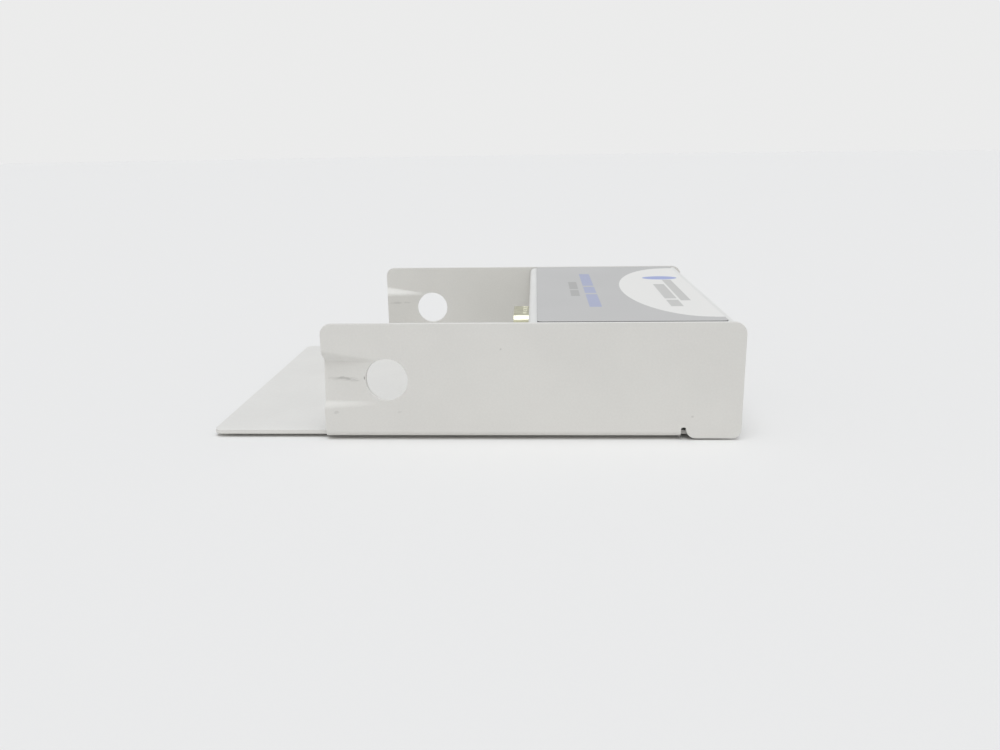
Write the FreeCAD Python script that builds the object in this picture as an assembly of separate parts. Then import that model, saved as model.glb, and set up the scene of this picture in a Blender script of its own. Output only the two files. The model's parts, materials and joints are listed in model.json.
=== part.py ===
import FreeCAD, Part
import math
import os

# A carrier for one slide-in measurement module: an open-fronted cradle of folded, painted steel
# sheet that the module slides into, with a covered electronics bay across its rear.
#
# Frame: millimetres, +Z up, Z = 0 on the surface that the carrier stands on. +X runs from the
# loading tongue to the rear panel, so the module goes in along +X. Y = 0 is the middle of the
# width and X = 0 the middle of the length.

# ---- driving dimensions ----
SHEET = 1.0                  # thickness of every folded sheet part
BEND_INSIDE = 0.3            # inside radius of every fold
OUTER_WIDTH = 91.0           # over the two side walls
WALL_HEIGHT = 26.7           # of the side walls, from the underside of the base
BAY_LENGTH = 74.4            # open length for the module, from the tongue's edge to the front panel
ELECTRONICS_DEPTH = 46.0     # from the front panel's face to the rear panel's face
REAR_INSET = 2.4             # rear panel in from the rear ends of the walls
TONGUE_REACH = 27.4          # how far the base runs out in front of the walls
FOOT_HEIGHT = 0.8            # thickness of the adhesive foot pads
EDGE_RELIEF = 0.7            # between a fold's tangent line and the free edge of the base

# ---- corners of the cradle sheet ----
WALL_TOP_FRONT_R = 2.5
WALL_TOP_REAR_R = 2.8
TAB_REAR_R = 2.0
TAB_FRONT_R = 2.3
TONGUE_CORNER_R = 2.0

# ---- slot that ends the side fold, and the tab behind it ----
TAB_LENGTH = 12.5
TAB_CLEARANCE = 0.4          # lower edge of each tab above the surface that the carrier stands on
FOLD_SLOT_WIDTH = 1.1
FOLD_SLOT_RISE = 2.2         # top of the slot above the underside of the base

# ---- latch holes and the pressed lead-ins in front of them ----
LATCH_HOLE_R = 4.85
LATCH_SETBACK = 14.7         # from the front edge of a wall to the hole's centre
LATCH_RISE = 13.7            # hole's centre above the underside of the base
LEAD_IN_RISE = 13.1          # lead-in's middle above the underside of the base
LEAD_IN_SHORTFALL = 2.3      # lead-in runs out this far in front of the hole's centre
LEAD_IN_DEPTH = 2.0
LEAD_IN_FLANK_ANGLE = 45.0   # degrees, each flank from the plane of the wall
LEAD_IN_MARGIN = 0.15        # lead-in's flat floor is this much taller than the hole, each side

# ---- electronics bay ----
SIDE_GAP = 0.35              # between the cover and a side wall
COVER_FOOT_LENGTH = 11.0     # fold at the bottom of the front panel
REAR_FLANGE_LENGTH = 12.0    # fold at the top of the rear panel
CORNER_NIP = 1.2             # cut off the cover's lower corners, clear of the side folds

# ---- top label ----
LABEL_THICKNESS = 0.35
LABEL_FRONT_MARGIN = 2.05
LABEL_REAR_MARGIN = 1.3
LABEL_SIDE_MARGIN = 0.5
LABEL_CORNER_R = 1.2

# ---- fasteners ----
THREAD_R = 1.25
CLEARANCE = 0.1              # radial, between a screw and a plain hole
FLUSH_HEAD_R = 2.25
FLUSH_RIM = 0.2              # rim of a flush head that stands proud of the base
NUT_R = 2.75
NUT_HEIGHT = 2.0
SOCKET_R = 0.87              # hexagonal drive sockets, across corners, halved
SOCKET_DEPTH = 0.6
COVER_SCREW_INSET = 12.0     # outer front screws, in from the cover's sides
REAR_SCREW_INSET = 16.0
SCREW_END = 0.4              # thread showing past a nut

# ---- foot pads ----
PAD_R = 4.5
PAD_SIDE_INSET = 10.5        # pad centres in from the base's free edges
PAD_FRONT_SETBACK = 9.0      # from the front edge of the walls to the front pads
PAD_REAR_SETBACK = 20.0      # from the rear ends of the walls to the rear pads

# ---- main board ----
BOARD_THICKNESS = 1.6
BOARD_SIDE_GAP = 5.5         # from the inside of a side wall
BOARD_FRONT_GAP = 3.4        # from the back of the front panel
BOARD_REAR_GAP = 0.8         # from the inside of the rear panel
STANDOFF_HEIGHT = 4.0
STANDOFF_R = 2.1
STANDOFF_HEX = 2.75          # across corners, halved
STANDOFF_SIDE_INSET = 5.0
STANDOFF_FRONT_INSET = 12.0
STANDOFF_REAR_INSET = 4.5
PAN_HEAD_R = 2.4
PAN_HEAD_HEIGHT = 1.6

# ---- module connector: a high-density D-shaped plug ----
PLUG_Y = 12.5
PLUG_RISE = 14.3             # centre above the underside of the base
PLUG_WIDTH = 17.0
PLUG_HEIGHT = 8.9
PLUG_WALL = 0.4
PLUG_CORNER_R = 2.6
PLUG_REACH = 4.6             # shell in front of the panel
PLUG_SIDE_ANGLE = 10.0       # degrees, each slanted side
PLUG_FLANGE_END = 2.9        # flange beyond the centre of each screw
PLUG_FLANGE_LIP = 1.8        # flange above and below the shell
PLUG_FLANGE_THICKNESS = 0.5
PLUG_CUTOUT_GAP = 0.25
PLUG_SCREW_OFFSET = 4.0      # screw centres from the sides of the shell
PLUG_BODY_DEPTH = 8.5
PLUG_BODY_SHOULDER = 1.1     # body wider than the shell, each side
PLUG_FACE_SETBACK = 0.2      # insulator's face behind the front of the panel
PIN_R = 0.38
PIN_PITCH = 2.29
PIN_ROW_PITCH = 1.98
PINS_PER_ROW = 5
PIN_SETBACK = 0.9            # pin ends behind the shell's mouth
PIN_EMBED = 1.0
PIN_TIP_R = 0.15
PIN_TIP_LENGTH = 0.5
DENT_R = 0.55
DENT_LENGTH = 1.7
DENT_DEPTH = 0.22
DENT_PITCH = 3.1
DENT_LOW_PITCH = 2.3         # closer together on the narrower underside
DENT_STEPS = (-1.5, -0.5, 0.5, 1.5)
DENT_SETBACK = 0.5           # from the front of the panel

# ---- host port: a square serial-bus receptacle ----
PORT_Y = -9.0
PORT_WIDTH = 12.0
PORT_HEIGHT = 10.8
PORT_DEPTH = 16.0
PORT_WALL = 0.4
PORT_PROUD = 0.6             # in front of the rear panel's outer face
PORT_CUTOUT_GAP = 0.3
PORT_TOP_CORNER = 1.7        # chamfer of the mouth's two upper corners
PORT_TONGUE_WIDTH = 5.6
PORT_TONGUE_HEIGHT = 3.2
PORT_TONGUE_REACH = 9.0
PORT_BACK_BLOCK = 5.0
PORT_CONTACT_WIDTH = 1.0
PORT_CONTACT_THICKNESS = 0.25
PORT_CONTACT_PITCH = 2.5
PORT_CONTACT_SETBACK = 1.0

# ---- cable lock beside the host port ----
LOCK_THREAD_R = 1.42
LOCK_SHANK_R = 2.4
LOCK_BODY_R = 3.2
LOCK_DEPTH = 4.0
LOCK_OFFSET = 6.0            # centre from the side of the host port

# ---- status lights ----
LIGHT_R = 1.5
LIGHT_GAP = 0.1
LIGHT_FIRST_Y = 10.0
LIGHT_PITCH = 6.0
LIGHT_PROUD = 0.3
LIGHT_RISE = 2.8             # centre above the board
LAMP_SIZE = 3.2
LAMP_LENGTH = 2.6

# ---- levels and places that follow ----
BEND_OUTSIDE = BEND_INSIDE + SHEET
HALF_WIDTH = OUTER_WIDTH / 2
INNER_HALF = HALF_WIDTH - SHEET
BASE_UNDER = FOOT_HEIGHT
BASE_TOP = BASE_UNDER + SHEET
BASE_HALF = HALF_WIDTH - BEND_OUTSIDE - EDGE_RELIEF
WALL_TOP = BASE_UNDER + WALL_HEIGHT
OVERALL_LENGTH = BAY_LENGTH + ELECTRONICS_DEPTH + REAR_INSET
TONGUE_FRONT = -OVERALL_LENGTH / 2
WALL_FRONT = TONGUE_FRONT + TONGUE_REACH
WALL_REAR = OVERALL_LENGTH / 2
FOLD_SLOT_TOP = BASE_UNDER + FOLD_SLOT_RISE
LATCH_HOLE_X = WALL_FRONT + LATCH_SETBACK
LATCH_HOLE_Z = BASE_UNDER + LATCH_RISE
LEAD_IN_Z = BASE_UNDER + LEAD_IN_RISE
LEAD_IN_END = LATCH_HOLE_X - LEAD_IN_SHORTFALL
LEAD_IN_HALF_FLOOR = LATCH_HOLE_R + LEAD_IN_MARGIN
TAB_FRONT = WALL_REAR - TAB_LENGTH
FOLD_END = TAB_FRONT - FOLD_SLOT_WIDTH
PANEL_FRONT = TONGUE_FRONT + BAY_LENGTH
PANEL_BACK = PANEL_FRONT + SHEET
REAR_OUTER = WALL_REAR - REAR_INSET
REAR_INNER = REAR_OUTER - SHEET
COVER_TOP = WALL_TOP - LABEL_THICKNESS
FLANGE_TOP = COVER_TOP - SHEET
COVER_HALF = INNER_HALF - SIDE_GAP
BOARD_HALF_WIDTH = INNER_HALF - BOARD_SIDE_GAP
BOARD_UNDER = BASE_TOP + STANDOFF_HEIGHT
BOARD_TOP = BOARD_UNDER + BOARD_THICKNESS
BOARD_FRONT = PANEL_BACK + BOARD_FRONT_GAP
BOARD_REAR = REAR_INNER - BOARD_REAR_GAP
PLUG_Z = BASE_UNDER + PLUG_RISE
PLUG_SCREW_HALF_PITCH = PLUG_WIDTH / 2 + PLUG_SCREW_OFFSET
PLUG_MOUTH = PANEL_FRONT - PLUG_REACH
PORT_MOUTH = REAR_OUTER + PORT_PROUD
PORT_BACK = PORT_MOUTH - PORT_DEPTH
PORT_TOP = BOARD_TOP + PORT_HEIGHT
PORT_MID_Z = BOARD_TOP + PORT_HEIGHT / 2
LOCK_Y = PORT_Y - PORT_WIDTH / 2 - LOCK_OFFSET
HOLE_R = THREAD_R + CLEARANCE
COVER_SCREW_X = PANEL_FRONT + COVER_FOOT_LENGTH / 2 + SHEET / 2
REAR_SCREW_X = REAR_OUTER - REAR_FLANGE_LENGTH / 2
OVER = 1.0                   # how far a cutting tool runs past what it cuts

X_AXIS = FreeCAD.Vector(1, 0, 0)
Y_AXIS = FreeCAD.Vector(0, 1, 0)
Z_AXIS = FreeCAD.Vector(0, 0, 1)
HEXAGON_SIDES = 6


# ---- helpers ----
def point(x, y, z):
    return FreeCAD.Vector(x, y, z)


def block(x, y, z):
    """A box from three (low, high) pairs."""
    low = point(x[0], y[0], z[0])
    return Part.makeBox(x[1] - x[0], y[1] - y[0], z[1] - z[0], low)


def rod(radius, start, axis, length):
    return Part.makeCylinder(radius, length, start, axis)


def hexagon(corner_radius, start, axis, length):
    """A hexagonal prism that stands on start and runs along the X or Z axis, either way."""
    across = axis.cross(Y_AXIS)
    corners = []
    for step in range(HEXAGON_SIDES + 1):
        angle = step * math.tau / HEXAGON_SIDES
        corners.append(start + (across * math.cos(angle) + Y_AXIS * math.sin(angle)) * corner_radius)
    return Part.Face(Part.makePolygon(corners)).extrude(axis * length)


def join(pieces):
    whole = pieces[0]
    if len(pieces) > 1:
        whole = pieces[0].fuse(pieces[1:])
    return whole.removeSplitter()


def edges_along(shape, axis, centre, tolerance=0.01):
    """Straight edges along an axis whose middles match the given coordinates; None matches any."""
    found = []
    for edge in shape.Edges:
        if not isinstance(edge.Curve, Part.Line):
            continue
        if abs(abs(edge.tangentAt(edge.FirstParameter).dot(axis)) - 1) > tolerance:
            continue
        middle = edge.CenterOfMass
        pairs = zip(centre, (middle.x, middle.y, middle.z))
        if all(want is None or abs(want - value) < tolerance for want, value in pairs):
            found.append(edge)
    return found


def soften(shape, radius, axis, centres):
    """Round the edges along an axis at each of the given places."""
    edges = []
    for centre in centres:
        edges += edges_along(shape, axis, centre)
    return shape.makeFillet(radius, edges)


def on_both_sides(shape):
    """The shape and its mirror image in the carrier's middle plane."""
    return [shape, shape.mirror(point(0, 0, 0), Y_AXIS)]


def corner_cutter(x, z, radius, way_x, way_z, y):
    """What to cut to round a wall's corner at x, z; the wall lies towards way_x and way_z."""
    xs = sorted((x - way_x * OVER, x + way_x * radius))
    zs = sorted((z - way_z * OVER, z + way_z * radius))
    middle = point(x + way_x * radius, y[0], z + way_z * radius)
    return block(xs, y, zs).cut(rod(radius, middle, Y_AXIS, y[1] - y[0]))


def save(name, pieces):
    shape = pieces[0] if len(pieces) == 1 else Part.makeCompound(pieces)
    shape.exportStep("parts/" + name + ".step")


# ---- screws and nuts ----
def flush_screw(x, y, z, way, length, rim):
    """A screw whose cone-shaped head fills a sheet's thickness; way is +1 or -1 along Z."""
    axis = Z_AXIS * way
    start = point(x, y, z)
    cone = Part.makeCone(FLUSH_HEAD_R, HOLE_R, SHEET, start, axis)
    shank = rod(THREAD_R, start + axis * SHEET, axis, length - SHEET)
    pieces = [cone, shank]
    if rim > 0:
        pieces.append(rod(FLUSH_HEAD_R, start - axis * rim, axis, rim))
    return join(pieces).cut(hexagon(SOCKET_R, start - axis * rim, axis, SOCKET_DEPTH))


def flush_seat(x, y, z, way):
    """The hole that a flush screw's head fills in its sheet."""
    return Part.makeCone(FLUSH_HEAD_R, HOLE_R, SHEET, point(x, y, z), Z_AXIS * way)


def clinch_nut(x, y, z, way):
    axis = Z_AXIS * way
    start = point(x, y, z)
    return rod(NUT_R, start, axis, NUT_HEIGHT).cut(rod(THREAD_R, start, axis, NUT_HEIGHT))


def cover_screw_places():
    pitch = COVER_HALF - COVER_SCREW_INSET
    return [(COVER_SCREW_X, row * pitch) for row in (-1, 0, 1)]


def rear_screw_places():
    return [(REAR_SCREW_X, side * (COVER_HALF - REAR_SCREW_INSET)) for side in (-1, 1)]


def standoff_places():
    xs = (BOARD_FRONT + STANDOFF_FRONT_INSET, BOARD_REAR - STANDOFF_REAR_INSET)
    return [(x, side * (BOARD_HALF_WIDTH - STANDOFF_SIDE_INSET)) for x in xs for side in (-1, 1)]


# ---- cradle ----
def channel_run():
    """Base and both walls, as far back as the side folds go."""
    outer = block((WALL_FRONT, FOLD_END), (-HALF_WIDTH, HALF_WIDTH), (BASE_UNDER, WALL_TOP))
    outer = soften(outer, BEND_OUTSIDE, X_AXIS,
                   [(None, side * HALF_WIDTH, BASE_UNDER) for side in (-1, 1)])
    inner = block((WALL_FRONT - OVER, FOLD_END + OVER), (-INNER_HALF, INNER_HALF),
                  (BASE_TOP, WALL_TOP + OVER))
    inner = soften(inner, BEND_INSIDE, X_AXIS,
                   [(None, side * INNER_HALF, BASE_TOP) for side in (-1, 1)])
    return outer.cut(inner)


def wall_rear_end():
    """The +Y wall behind its fold, with its tab down past the base and the slot that frees it."""
    y = (INNER_HALF, HALF_WIDTH)
    wall = block((FOLD_END, WALL_REAR), y, (TAB_CLEARANCE, WALL_TOP))
    wall = wall.cut(block((FOLD_END - OVER, TAB_FRONT), y, (-OVER, FOLD_SLOT_TOP)))
    wall = wall.cut(corner_cutter(WALL_REAR, TAB_CLEARANCE, TAB_REAR_R, -1, 1, y))
    wall = wall.cut(corner_cutter(TAB_FRONT, TAB_CLEARANCE, TAB_FRONT_R, 1, 1, y))
    return wall.cut(corner_cutter(WALL_REAR, WALL_TOP, WALL_TOP_REAR_R, -1, -1, y))


def tongue():
    plate = block((TONGUE_FRONT, WALL_FRONT), (-BASE_HALF, BASE_HALF), (BASE_UNDER, BASE_TOP))
    return soften(plate, TONGUE_CORNER_R, Z_AXIS,
                  [(TONGUE_FRONT, side * BASE_HALF, None) for side in (-1, 1)])


def rear_panel():
    """The base's rear end, folded up into the rear panel and forward again under the cover."""
    y = (-BASE_HALF, BASE_HALF)
    outer = block((FOLD_END, REAR_OUTER), y, (BASE_UNDER, FLANGE_TOP))
    outer = soften(outer, BEND_OUTSIDE, Y_AXIS,
                   [(REAR_OUTER, None, BASE_UNDER), (REAR_OUTER, None, FLANGE_TOP)])
    inner = block((FOLD_END - OVER, REAR_INNER), y, (BASE_TOP, FLANGE_TOP - SHEET))
    inner = soften(inner, BEND_INSIDE, Y_AXIS,
                   [(REAR_INNER, None, BASE_TOP), (REAR_INNER, None, FLANGE_TOP - SHEET)])
    excess = block((FOLD_END - OVER, REAR_OUTER - REAR_FLANGE_LENGTH), y, (BASE_TOP, FLANGE_TOP))
    return outer.cut(inner).cut(excess)


def pressed_wedge(depth_start, half_floor):
    """A wedge in the +Y wall: deepest at the front edge, run out at the lead-in's end."""
    y_near = HALF_WIDTH - depth_start
    y_floor = y_near - LEAD_IN_DEPTH
    half_mouth = half_floor + LEAD_IN_DEPTH / math.tan(math.radians(LEAD_IN_FLANK_ANGLE))
    low_mouth = point(WALL_FRONT, y_near, LEAD_IN_Z - half_mouth)
    high_mouth = point(WALL_FRONT, y_near, LEAD_IN_Z + half_mouth)
    low_floor = point(WALL_FRONT, y_floor, LEAD_IN_Z - half_floor)
    high_floor = point(WALL_FRONT, y_floor, LEAD_IN_Z + half_floor)
    low_end = point(LEAD_IN_END, y_near, LEAD_IN_Z - half_floor)
    high_end = point(LEAD_IN_END, y_near, LEAD_IN_Z + half_floor)
    outlines = [
        (low_mouth, high_mouth, high_floor, low_floor),
        (low_mouth, high_mouth, high_end, low_end),
        (low_floor, high_floor, high_end, low_end),
        (low_mouth, low_floor, low_end),
        (high_mouth, high_floor, high_end),
    ]
    faces = [Part.Face(Part.makePolygon(list(line) + [line[0]])) for line in outlines]
    wedge = Part.Solid(Part.Shell(faces))
    if wedge.Volume < 0:
        wedge.reverse()
    return wedge


def latch_hole():
    start = point(LATCH_HOLE_X, INNER_HALF - LEAD_IN_DEPTH, LATCH_HOLE_Z)
    return rod(LATCH_HOLE_R, start, Y_AXIS, SHEET + LEAD_IN_DEPTH + OVER)


def rear_cutouts():
    """Holes in the rear panel: host port, cable lock and status lights."""
    half = PORT_WIDTH / 2 + PORT_CUTOUT_GAP
    x = (REAR_INNER - OVER, REAR_OUTER + OVER)
    cuts = [block(x, (PORT_Y - half, PORT_Y + half),
                  (BOARD_TOP - PORT_CUTOUT_GAP, PORT_TOP + PORT_CUTOUT_GAP))]
    lock = point(x[0], LOCK_Y, PORT_MID_Z)
    cuts.append(rod(LOCK_SHANK_R, lock, X_AXIS, x[1] - x[0]))
    for y in light_rows():
        start = point(x[0], y, BOARD_TOP + LIGHT_RISE)
        cuts.append(rod(LIGHT_R + LIGHT_GAP, start, X_AXIS, x[1] - x[0]))
    return cuts


def make_cradle():
    sheet = join([channel_run(), tongue(), rear_panel()] + on_both_sides(wall_rear_end()))
    fold_offset = math.tan(math.radians(LEAD_IN_FLANK_ANGLE / 2)) * SHEET
    bulge = pressed_wedge(SHEET, LEAD_IN_HALF_FLOOR + fold_offset)
    sheet = join([sheet] + on_both_sides(bulge))
    hollow = pressed_wedge(0, LEAD_IN_HALF_FLOOR)
    walls_y = (-HALF_WIDTH - OVER, HALF_WIDTH + OVER)
    cuts = on_both_sides(hollow) + on_both_sides(latch_hole()) + rear_cutouts()
    cuts.append(corner_cutter(WALL_FRONT, WALL_TOP, WALL_TOP_FRONT_R, 1, -1, walls_y))
    for x, y in cover_screw_places():
        cuts.append(flush_seat(x, y, BASE_UNDER, 1))
    for x, y in standoff_places():
        cuts.append(hexagon(STANDOFF_HEX, point(x, y, BASE_UNDER), Z_AXIS, SHEET))
    for x, y in rear_screw_places():
        cuts.append(rod(HOLE_R, point(x, y, FLANGE_TOP - SHEET), Z_AXIS, SHEET))
    save("cradle", [sheet.cut(cuts)])


# ---- cover and label ----
def make_electronics_cover():
    y = (-COVER_HALF, COVER_HALF)
    outer = block((PANEL_FRONT, REAR_OUTER), y, (BASE_TOP, COVER_TOP))
    outer = soften(outer, BEND_OUTSIDE, Y_AXIS,
                   [(PANEL_FRONT, None, BASE_TOP), (PANEL_FRONT, None, COVER_TOP)])
    inner = block((PANEL_BACK, REAR_OUTER + OVER), y, (BASE_TOP + SHEET, COVER_TOP - SHEET))
    inner = soften(inner, BEND_INSIDE, Y_AXIS,
                   [(PANEL_BACK, None, BASE_TOP + SHEET), (PANEL_BACK, None, COVER_TOP - SHEET)])
    cover = outer.cut(inner)
    cuts = [block((PANEL_FRONT + COVER_FOOT_LENGTH, REAR_OUTER + OVER), y,
                  (BASE_TOP - OVER, BASE_TOP + SHEET + OVER))]
    cuts += on_both_sides(block((PANEL_FRONT - OVER, PANEL_FRONT + COVER_FOOT_LENGTH + OVER),
                                (COVER_HALF - CORNER_NIP, COVER_HALF + OVER),
                                (BASE_TOP - OVER, BASE_TOP + CORNER_NIP)))
    cuts.append(plug_prism(PLUG_CUTOUT_GAP, PANEL_FRONT - OVER, PANEL_BACK + OVER))
    for y_screw in plug_screw_rows():
        cuts.append(Part.makeCone(FLUSH_HEAD_R, HOLE_R, SHEET, point(PANEL_FRONT, y_screw, PLUG_Z), X_AXIS))
    for x, y_screw in cover_screw_places():
        cuts.append(rod(HOLE_R, point(x, y_screw, BASE_TOP - OVER), Z_AXIS, SHEET + 2 * OVER))
    for x, y_screw in rear_screw_places():
        cuts.append(flush_seat(x, y_screw, COVER_TOP, -1))
    save("electronics_cover", [cover.cut(cuts)])


def make_top_label():
    x = (PANEL_FRONT + LABEL_FRONT_MARGIN, REAR_OUTER - LABEL_REAR_MARGIN)
    half = COVER_HALF - LABEL_SIDE_MARGIN
    plate = block(x, (-half, half), (COVER_TOP, WALL_TOP))
    corners = [(place, side * half, None) for place in x for side in (-1, 1)]
    save("top_label", [soften(plate, LABEL_CORNER_R, Z_AXIS, corners)])


def make_foot_pads():
    xs = (WALL_FRONT + PAD_FRONT_SETBACK, WALL_REAR - PAD_REAR_SETBACK)
    half_pitch = BASE_HALF - PAD_SIDE_INSET
    places = [point(x, side * half_pitch, 0) for x in xs for side in (-1, 1)]
    save("foot_pads", [rod(PAD_R, place, Z_AXIS, FOOT_HEIGHT) for place in places])


def make_cover_fasteners():
    proud = SCREW_END + NUT_HEIGHT
    front = [flush_screw(x, y, BASE_UNDER, 1, 2 * SHEET + proud, FLUSH_RIM)
             for x, y in cover_screw_places()]
    save("cover_front_screws", front)
    save("cover_front_nuts", [clinch_nut(x, y, BASE_TOP + SHEET, 1) for x, y in cover_screw_places()])
    rear = [flush_screw(x, y, COVER_TOP, -1, 2 * SHEET + proud, 0) for x, y in rear_screw_places()]
    save("cover_rear_screws", rear)
    save("cover_rear_nuts", [clinch_nut(x, y, FLANGE_TOP - SHEET, -1) for x, y in rear_screw_places()])


# ---- main board ----
def make_board():
    board = block((BOARD_FRONT, BOARD_REAR), (-BOARD_HALF_WIDTH, BOARD_HALF_WIDTH),
                  (BOARD_UNDER, BOARD_TOP))
    holes = [rod(HOLE_R, point(x, y, BOARD_UNDER), Z_AXIS, BOARD_THICKNESS)
             for x, y in standoff_places()]
    save("main_board", [board.cut(holes)])


def make_board_fixings():
    pillars = []
    screws = []
    for x, y in standoff_places():
        foot = hexagon(STANDOFF_HEX, point(x, y, BASE_UNDER), Z_AXIS, SHEET)
        barrel = rod(STANDOFF_R, point(x, y, BASE_TOP), Z_AXIS, STANDOFF_HEIGHT)
        thread = rod(THREAD_R, point(x, y, BASE_TOP), Z_AXIS, STANDOFF_HEIGHT)
        pillars.append(join([foot, barrel]).cut(thread))
        shank_start = BASE_TOP + SHEET
        shank = rod(THREAD_R, point(x, y, shank_start), Z_AXIS, BOARD_TOP - shank_start)
        head = rod(PAN_HEAD_R, point(x, y, BOARD_TOP), Z_AXIS, PAN_HEAD_HEIGHT)
        head = head.makeFillet(PAN_HEAD_HEIGHT / 2, [head.Edges[0]])
        socket_floor = point(x, y, BOARD_TOP + PAN_HEAD_HEIGHT - SOCKET_DEPTH)
        screws.append(join([shank, head]).cut(hexagon(SOCKET_R, socket_floor, Z_AXIS, SOCKET_DEPTH)))
    save("board_standoffs", pillars)
    save("board_screws", screws)


# Parts soldered to the board: middle in X from its front edge, middle in Y, then the three sizes.
CONTROLLER = (22.0, -22.0, 10.0, 10.0, 1.5)
ISOLATORS = ((6.0, -7.0, 7.5, 10.3, 2.4), (6.0, -18.5, 7.5, 10.3, 2.4))
CRYSTAL = (12.0, 8.0, 4.6, 11.0, 3.6)
TRANSFORMER = (20.0, 20.0, 10.5, 10.0, 8.0)
CAN_CAPACITORS = ((21.0, 9.0), (27.5, 3.0))
CAN_R = 3.1
CAN_HEIGHT = 5.8
CAN_GROOVE = 0.3
CHIP_CAPACITOR_SIZE = (1.25, 2.0, 0.9)
CHIP_CAPACITOR_PITCH = 3.0
CHIP_CAPACITOR_COUNT = 6
CHIP_CAPACITOR_FIRST = (13.3, -20.0)
CRYSTAL_END_SHARE = 0.4      # crystal's end radius as a share of its width
TRANSFORMER_CORNER_R = 1.0


def on_board(part):
    """A block on the board from its middle and its three sizes."""
    from_front, y, size_x, size_y, height = part
    x = BOARD_FRONT + from_front
    return block((x - size_x / 2, x + size_x / 2), (y - size_y / 2, y + size_y / 2),
                 (BOARD_TOP, BOARD_TOP + height))


def rounded_upright(shape, radius):
    """A block with its four upright edges rounded."""
    return shape.makeFillet(radius, edges_along(shape, Z_AXIS, (None, None, None)))


def can_capacitor(from_front, y):
    start = point(BOARD_FRONT + from_front, y, BOARD_TOP)
    can = rod(CAN_R, start, Z_AXIS, CAN_HEIGHT)
    groove = rod(CAN_R, start + Z_AXIS * (CAN_HEIGHT / 4), Z_AXIS, CAN_GROOVE)
    core = rod(CAN_R - CAN_GROOVE, start + Z_AXIS * (CAN_HEIGHT / 4), Z_AXIS, CAN_GROOVE)
    return can.cut(groove.cut(core))


def make_board_parts():
    save("controller_chip", [on_board(CONTROLLER)])
    save("isolator_chips", [on_board(part) for part in ISOLATORS])
    save("crystal", [rounded_upright(on_board(CRYSTAL), CRYSTAL[2] * CRYSTAL_END_SHARE)])
    save("transformer", [rounded_upright(on_board(TRANSFORMER), TRANSFORMER_CORNER_R)])
    save("can_capacitors", [can_capacitor(*place) for place in CAN_CAPACITORS])
    chips = []
    for step in range(CHIP_CAPACITOR_COUNT):
        y = CHIP_CAPACITOR_FIRST[1] + step * CHIP_CAPACITOR_PITCH
        chips.append(on_board((CHIP_CAPACITOR_FIRST[0], y) + CHIP_CAPACITOR_SIZE))
    save("chip_capacitors", chips)


# ---- module connector ----
def plug_prism(grow, x_start, x_end):
    """The connector's D shape, grown all round, between two stations along X."""
    half_height = PLUG_HEIGHT / 2 + grow
    slant = math.tan(math.radians(PLUG_SIDE_ANGLE))
    half_top = PLUG_WIDTH / 2 + grow
    half_low = half_top - 2 * half_height * slant
    outline = [(-half_top, half_height), (half_top, half_height),
               (half_low, -half_height), (-half_low, -half_height)]
    corners = [point(x_start, PLUG_Y + y, PLUG_Z + z) for y, z in outline]
    prism = Part.Face(Part.makePolygon(corners + [corners[0]])).extrude(X_AXIS * (x_end - x_start))
    return prism.makeFillet(PLUG_CORNER_R + grow, edges_along(prism, X_AXIS, (None, None, None)))


def plug_screw_rows():
    return [PLUG_Y + side * PLUG_SCREW_HALF_PITCH for side in (-1, 1)]


def plug_dents():
    """Small grip dents along the top and bottom of the shell, near its root."""
    dents = []
    for side in (-1, 1):
        centre_z = PLUG_Z + side * (PLUG_HEIGHT / 2 - DENT_DEPTH + DENT_R)
        pitch = DENT_PITCH if side > 0 else DENT_LOW_PITCH
        for step in DENT_STEPS:
            start = point(PANEL_FRONT - DENT_SETBACK - DENT_LENGTH, PLUG_Y + step * pitch, centre_z)
            dents.append(rod(DENT_R, start, X_AXIS, DENT_LENGTH))
    return dents


def pin_places():
    """Y and Z of each pin: three staggered rows."""
    places = []
    for row in (-1, 0, 1):
        shift = row * PIN_PITCH / 4
        for column in range(PINS_PER_ROW):
            y = PLUG_Y + (column - (PINS_PER_ROW - 1) / 2) * PIN_PITCH + shift
            places.append((y, PLUG_Z + row * PIN_ROW_PITCH))
    return places


def plug_pin(y, z, x_end):
    start = point(PLUG_MOUTH + PIN_SETBACK, y, z)
    tip = Part.makeCone(PIN_TIP_R, PIN_R, PIN_TIP_LENGTH, start, X_AXIS)
    shank = start + X_AXIS * PIN_TIP_LENGTH
    return join([tip, rod(PIN_R, shank, X_AXIS, x_end - shank.x)])


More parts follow.
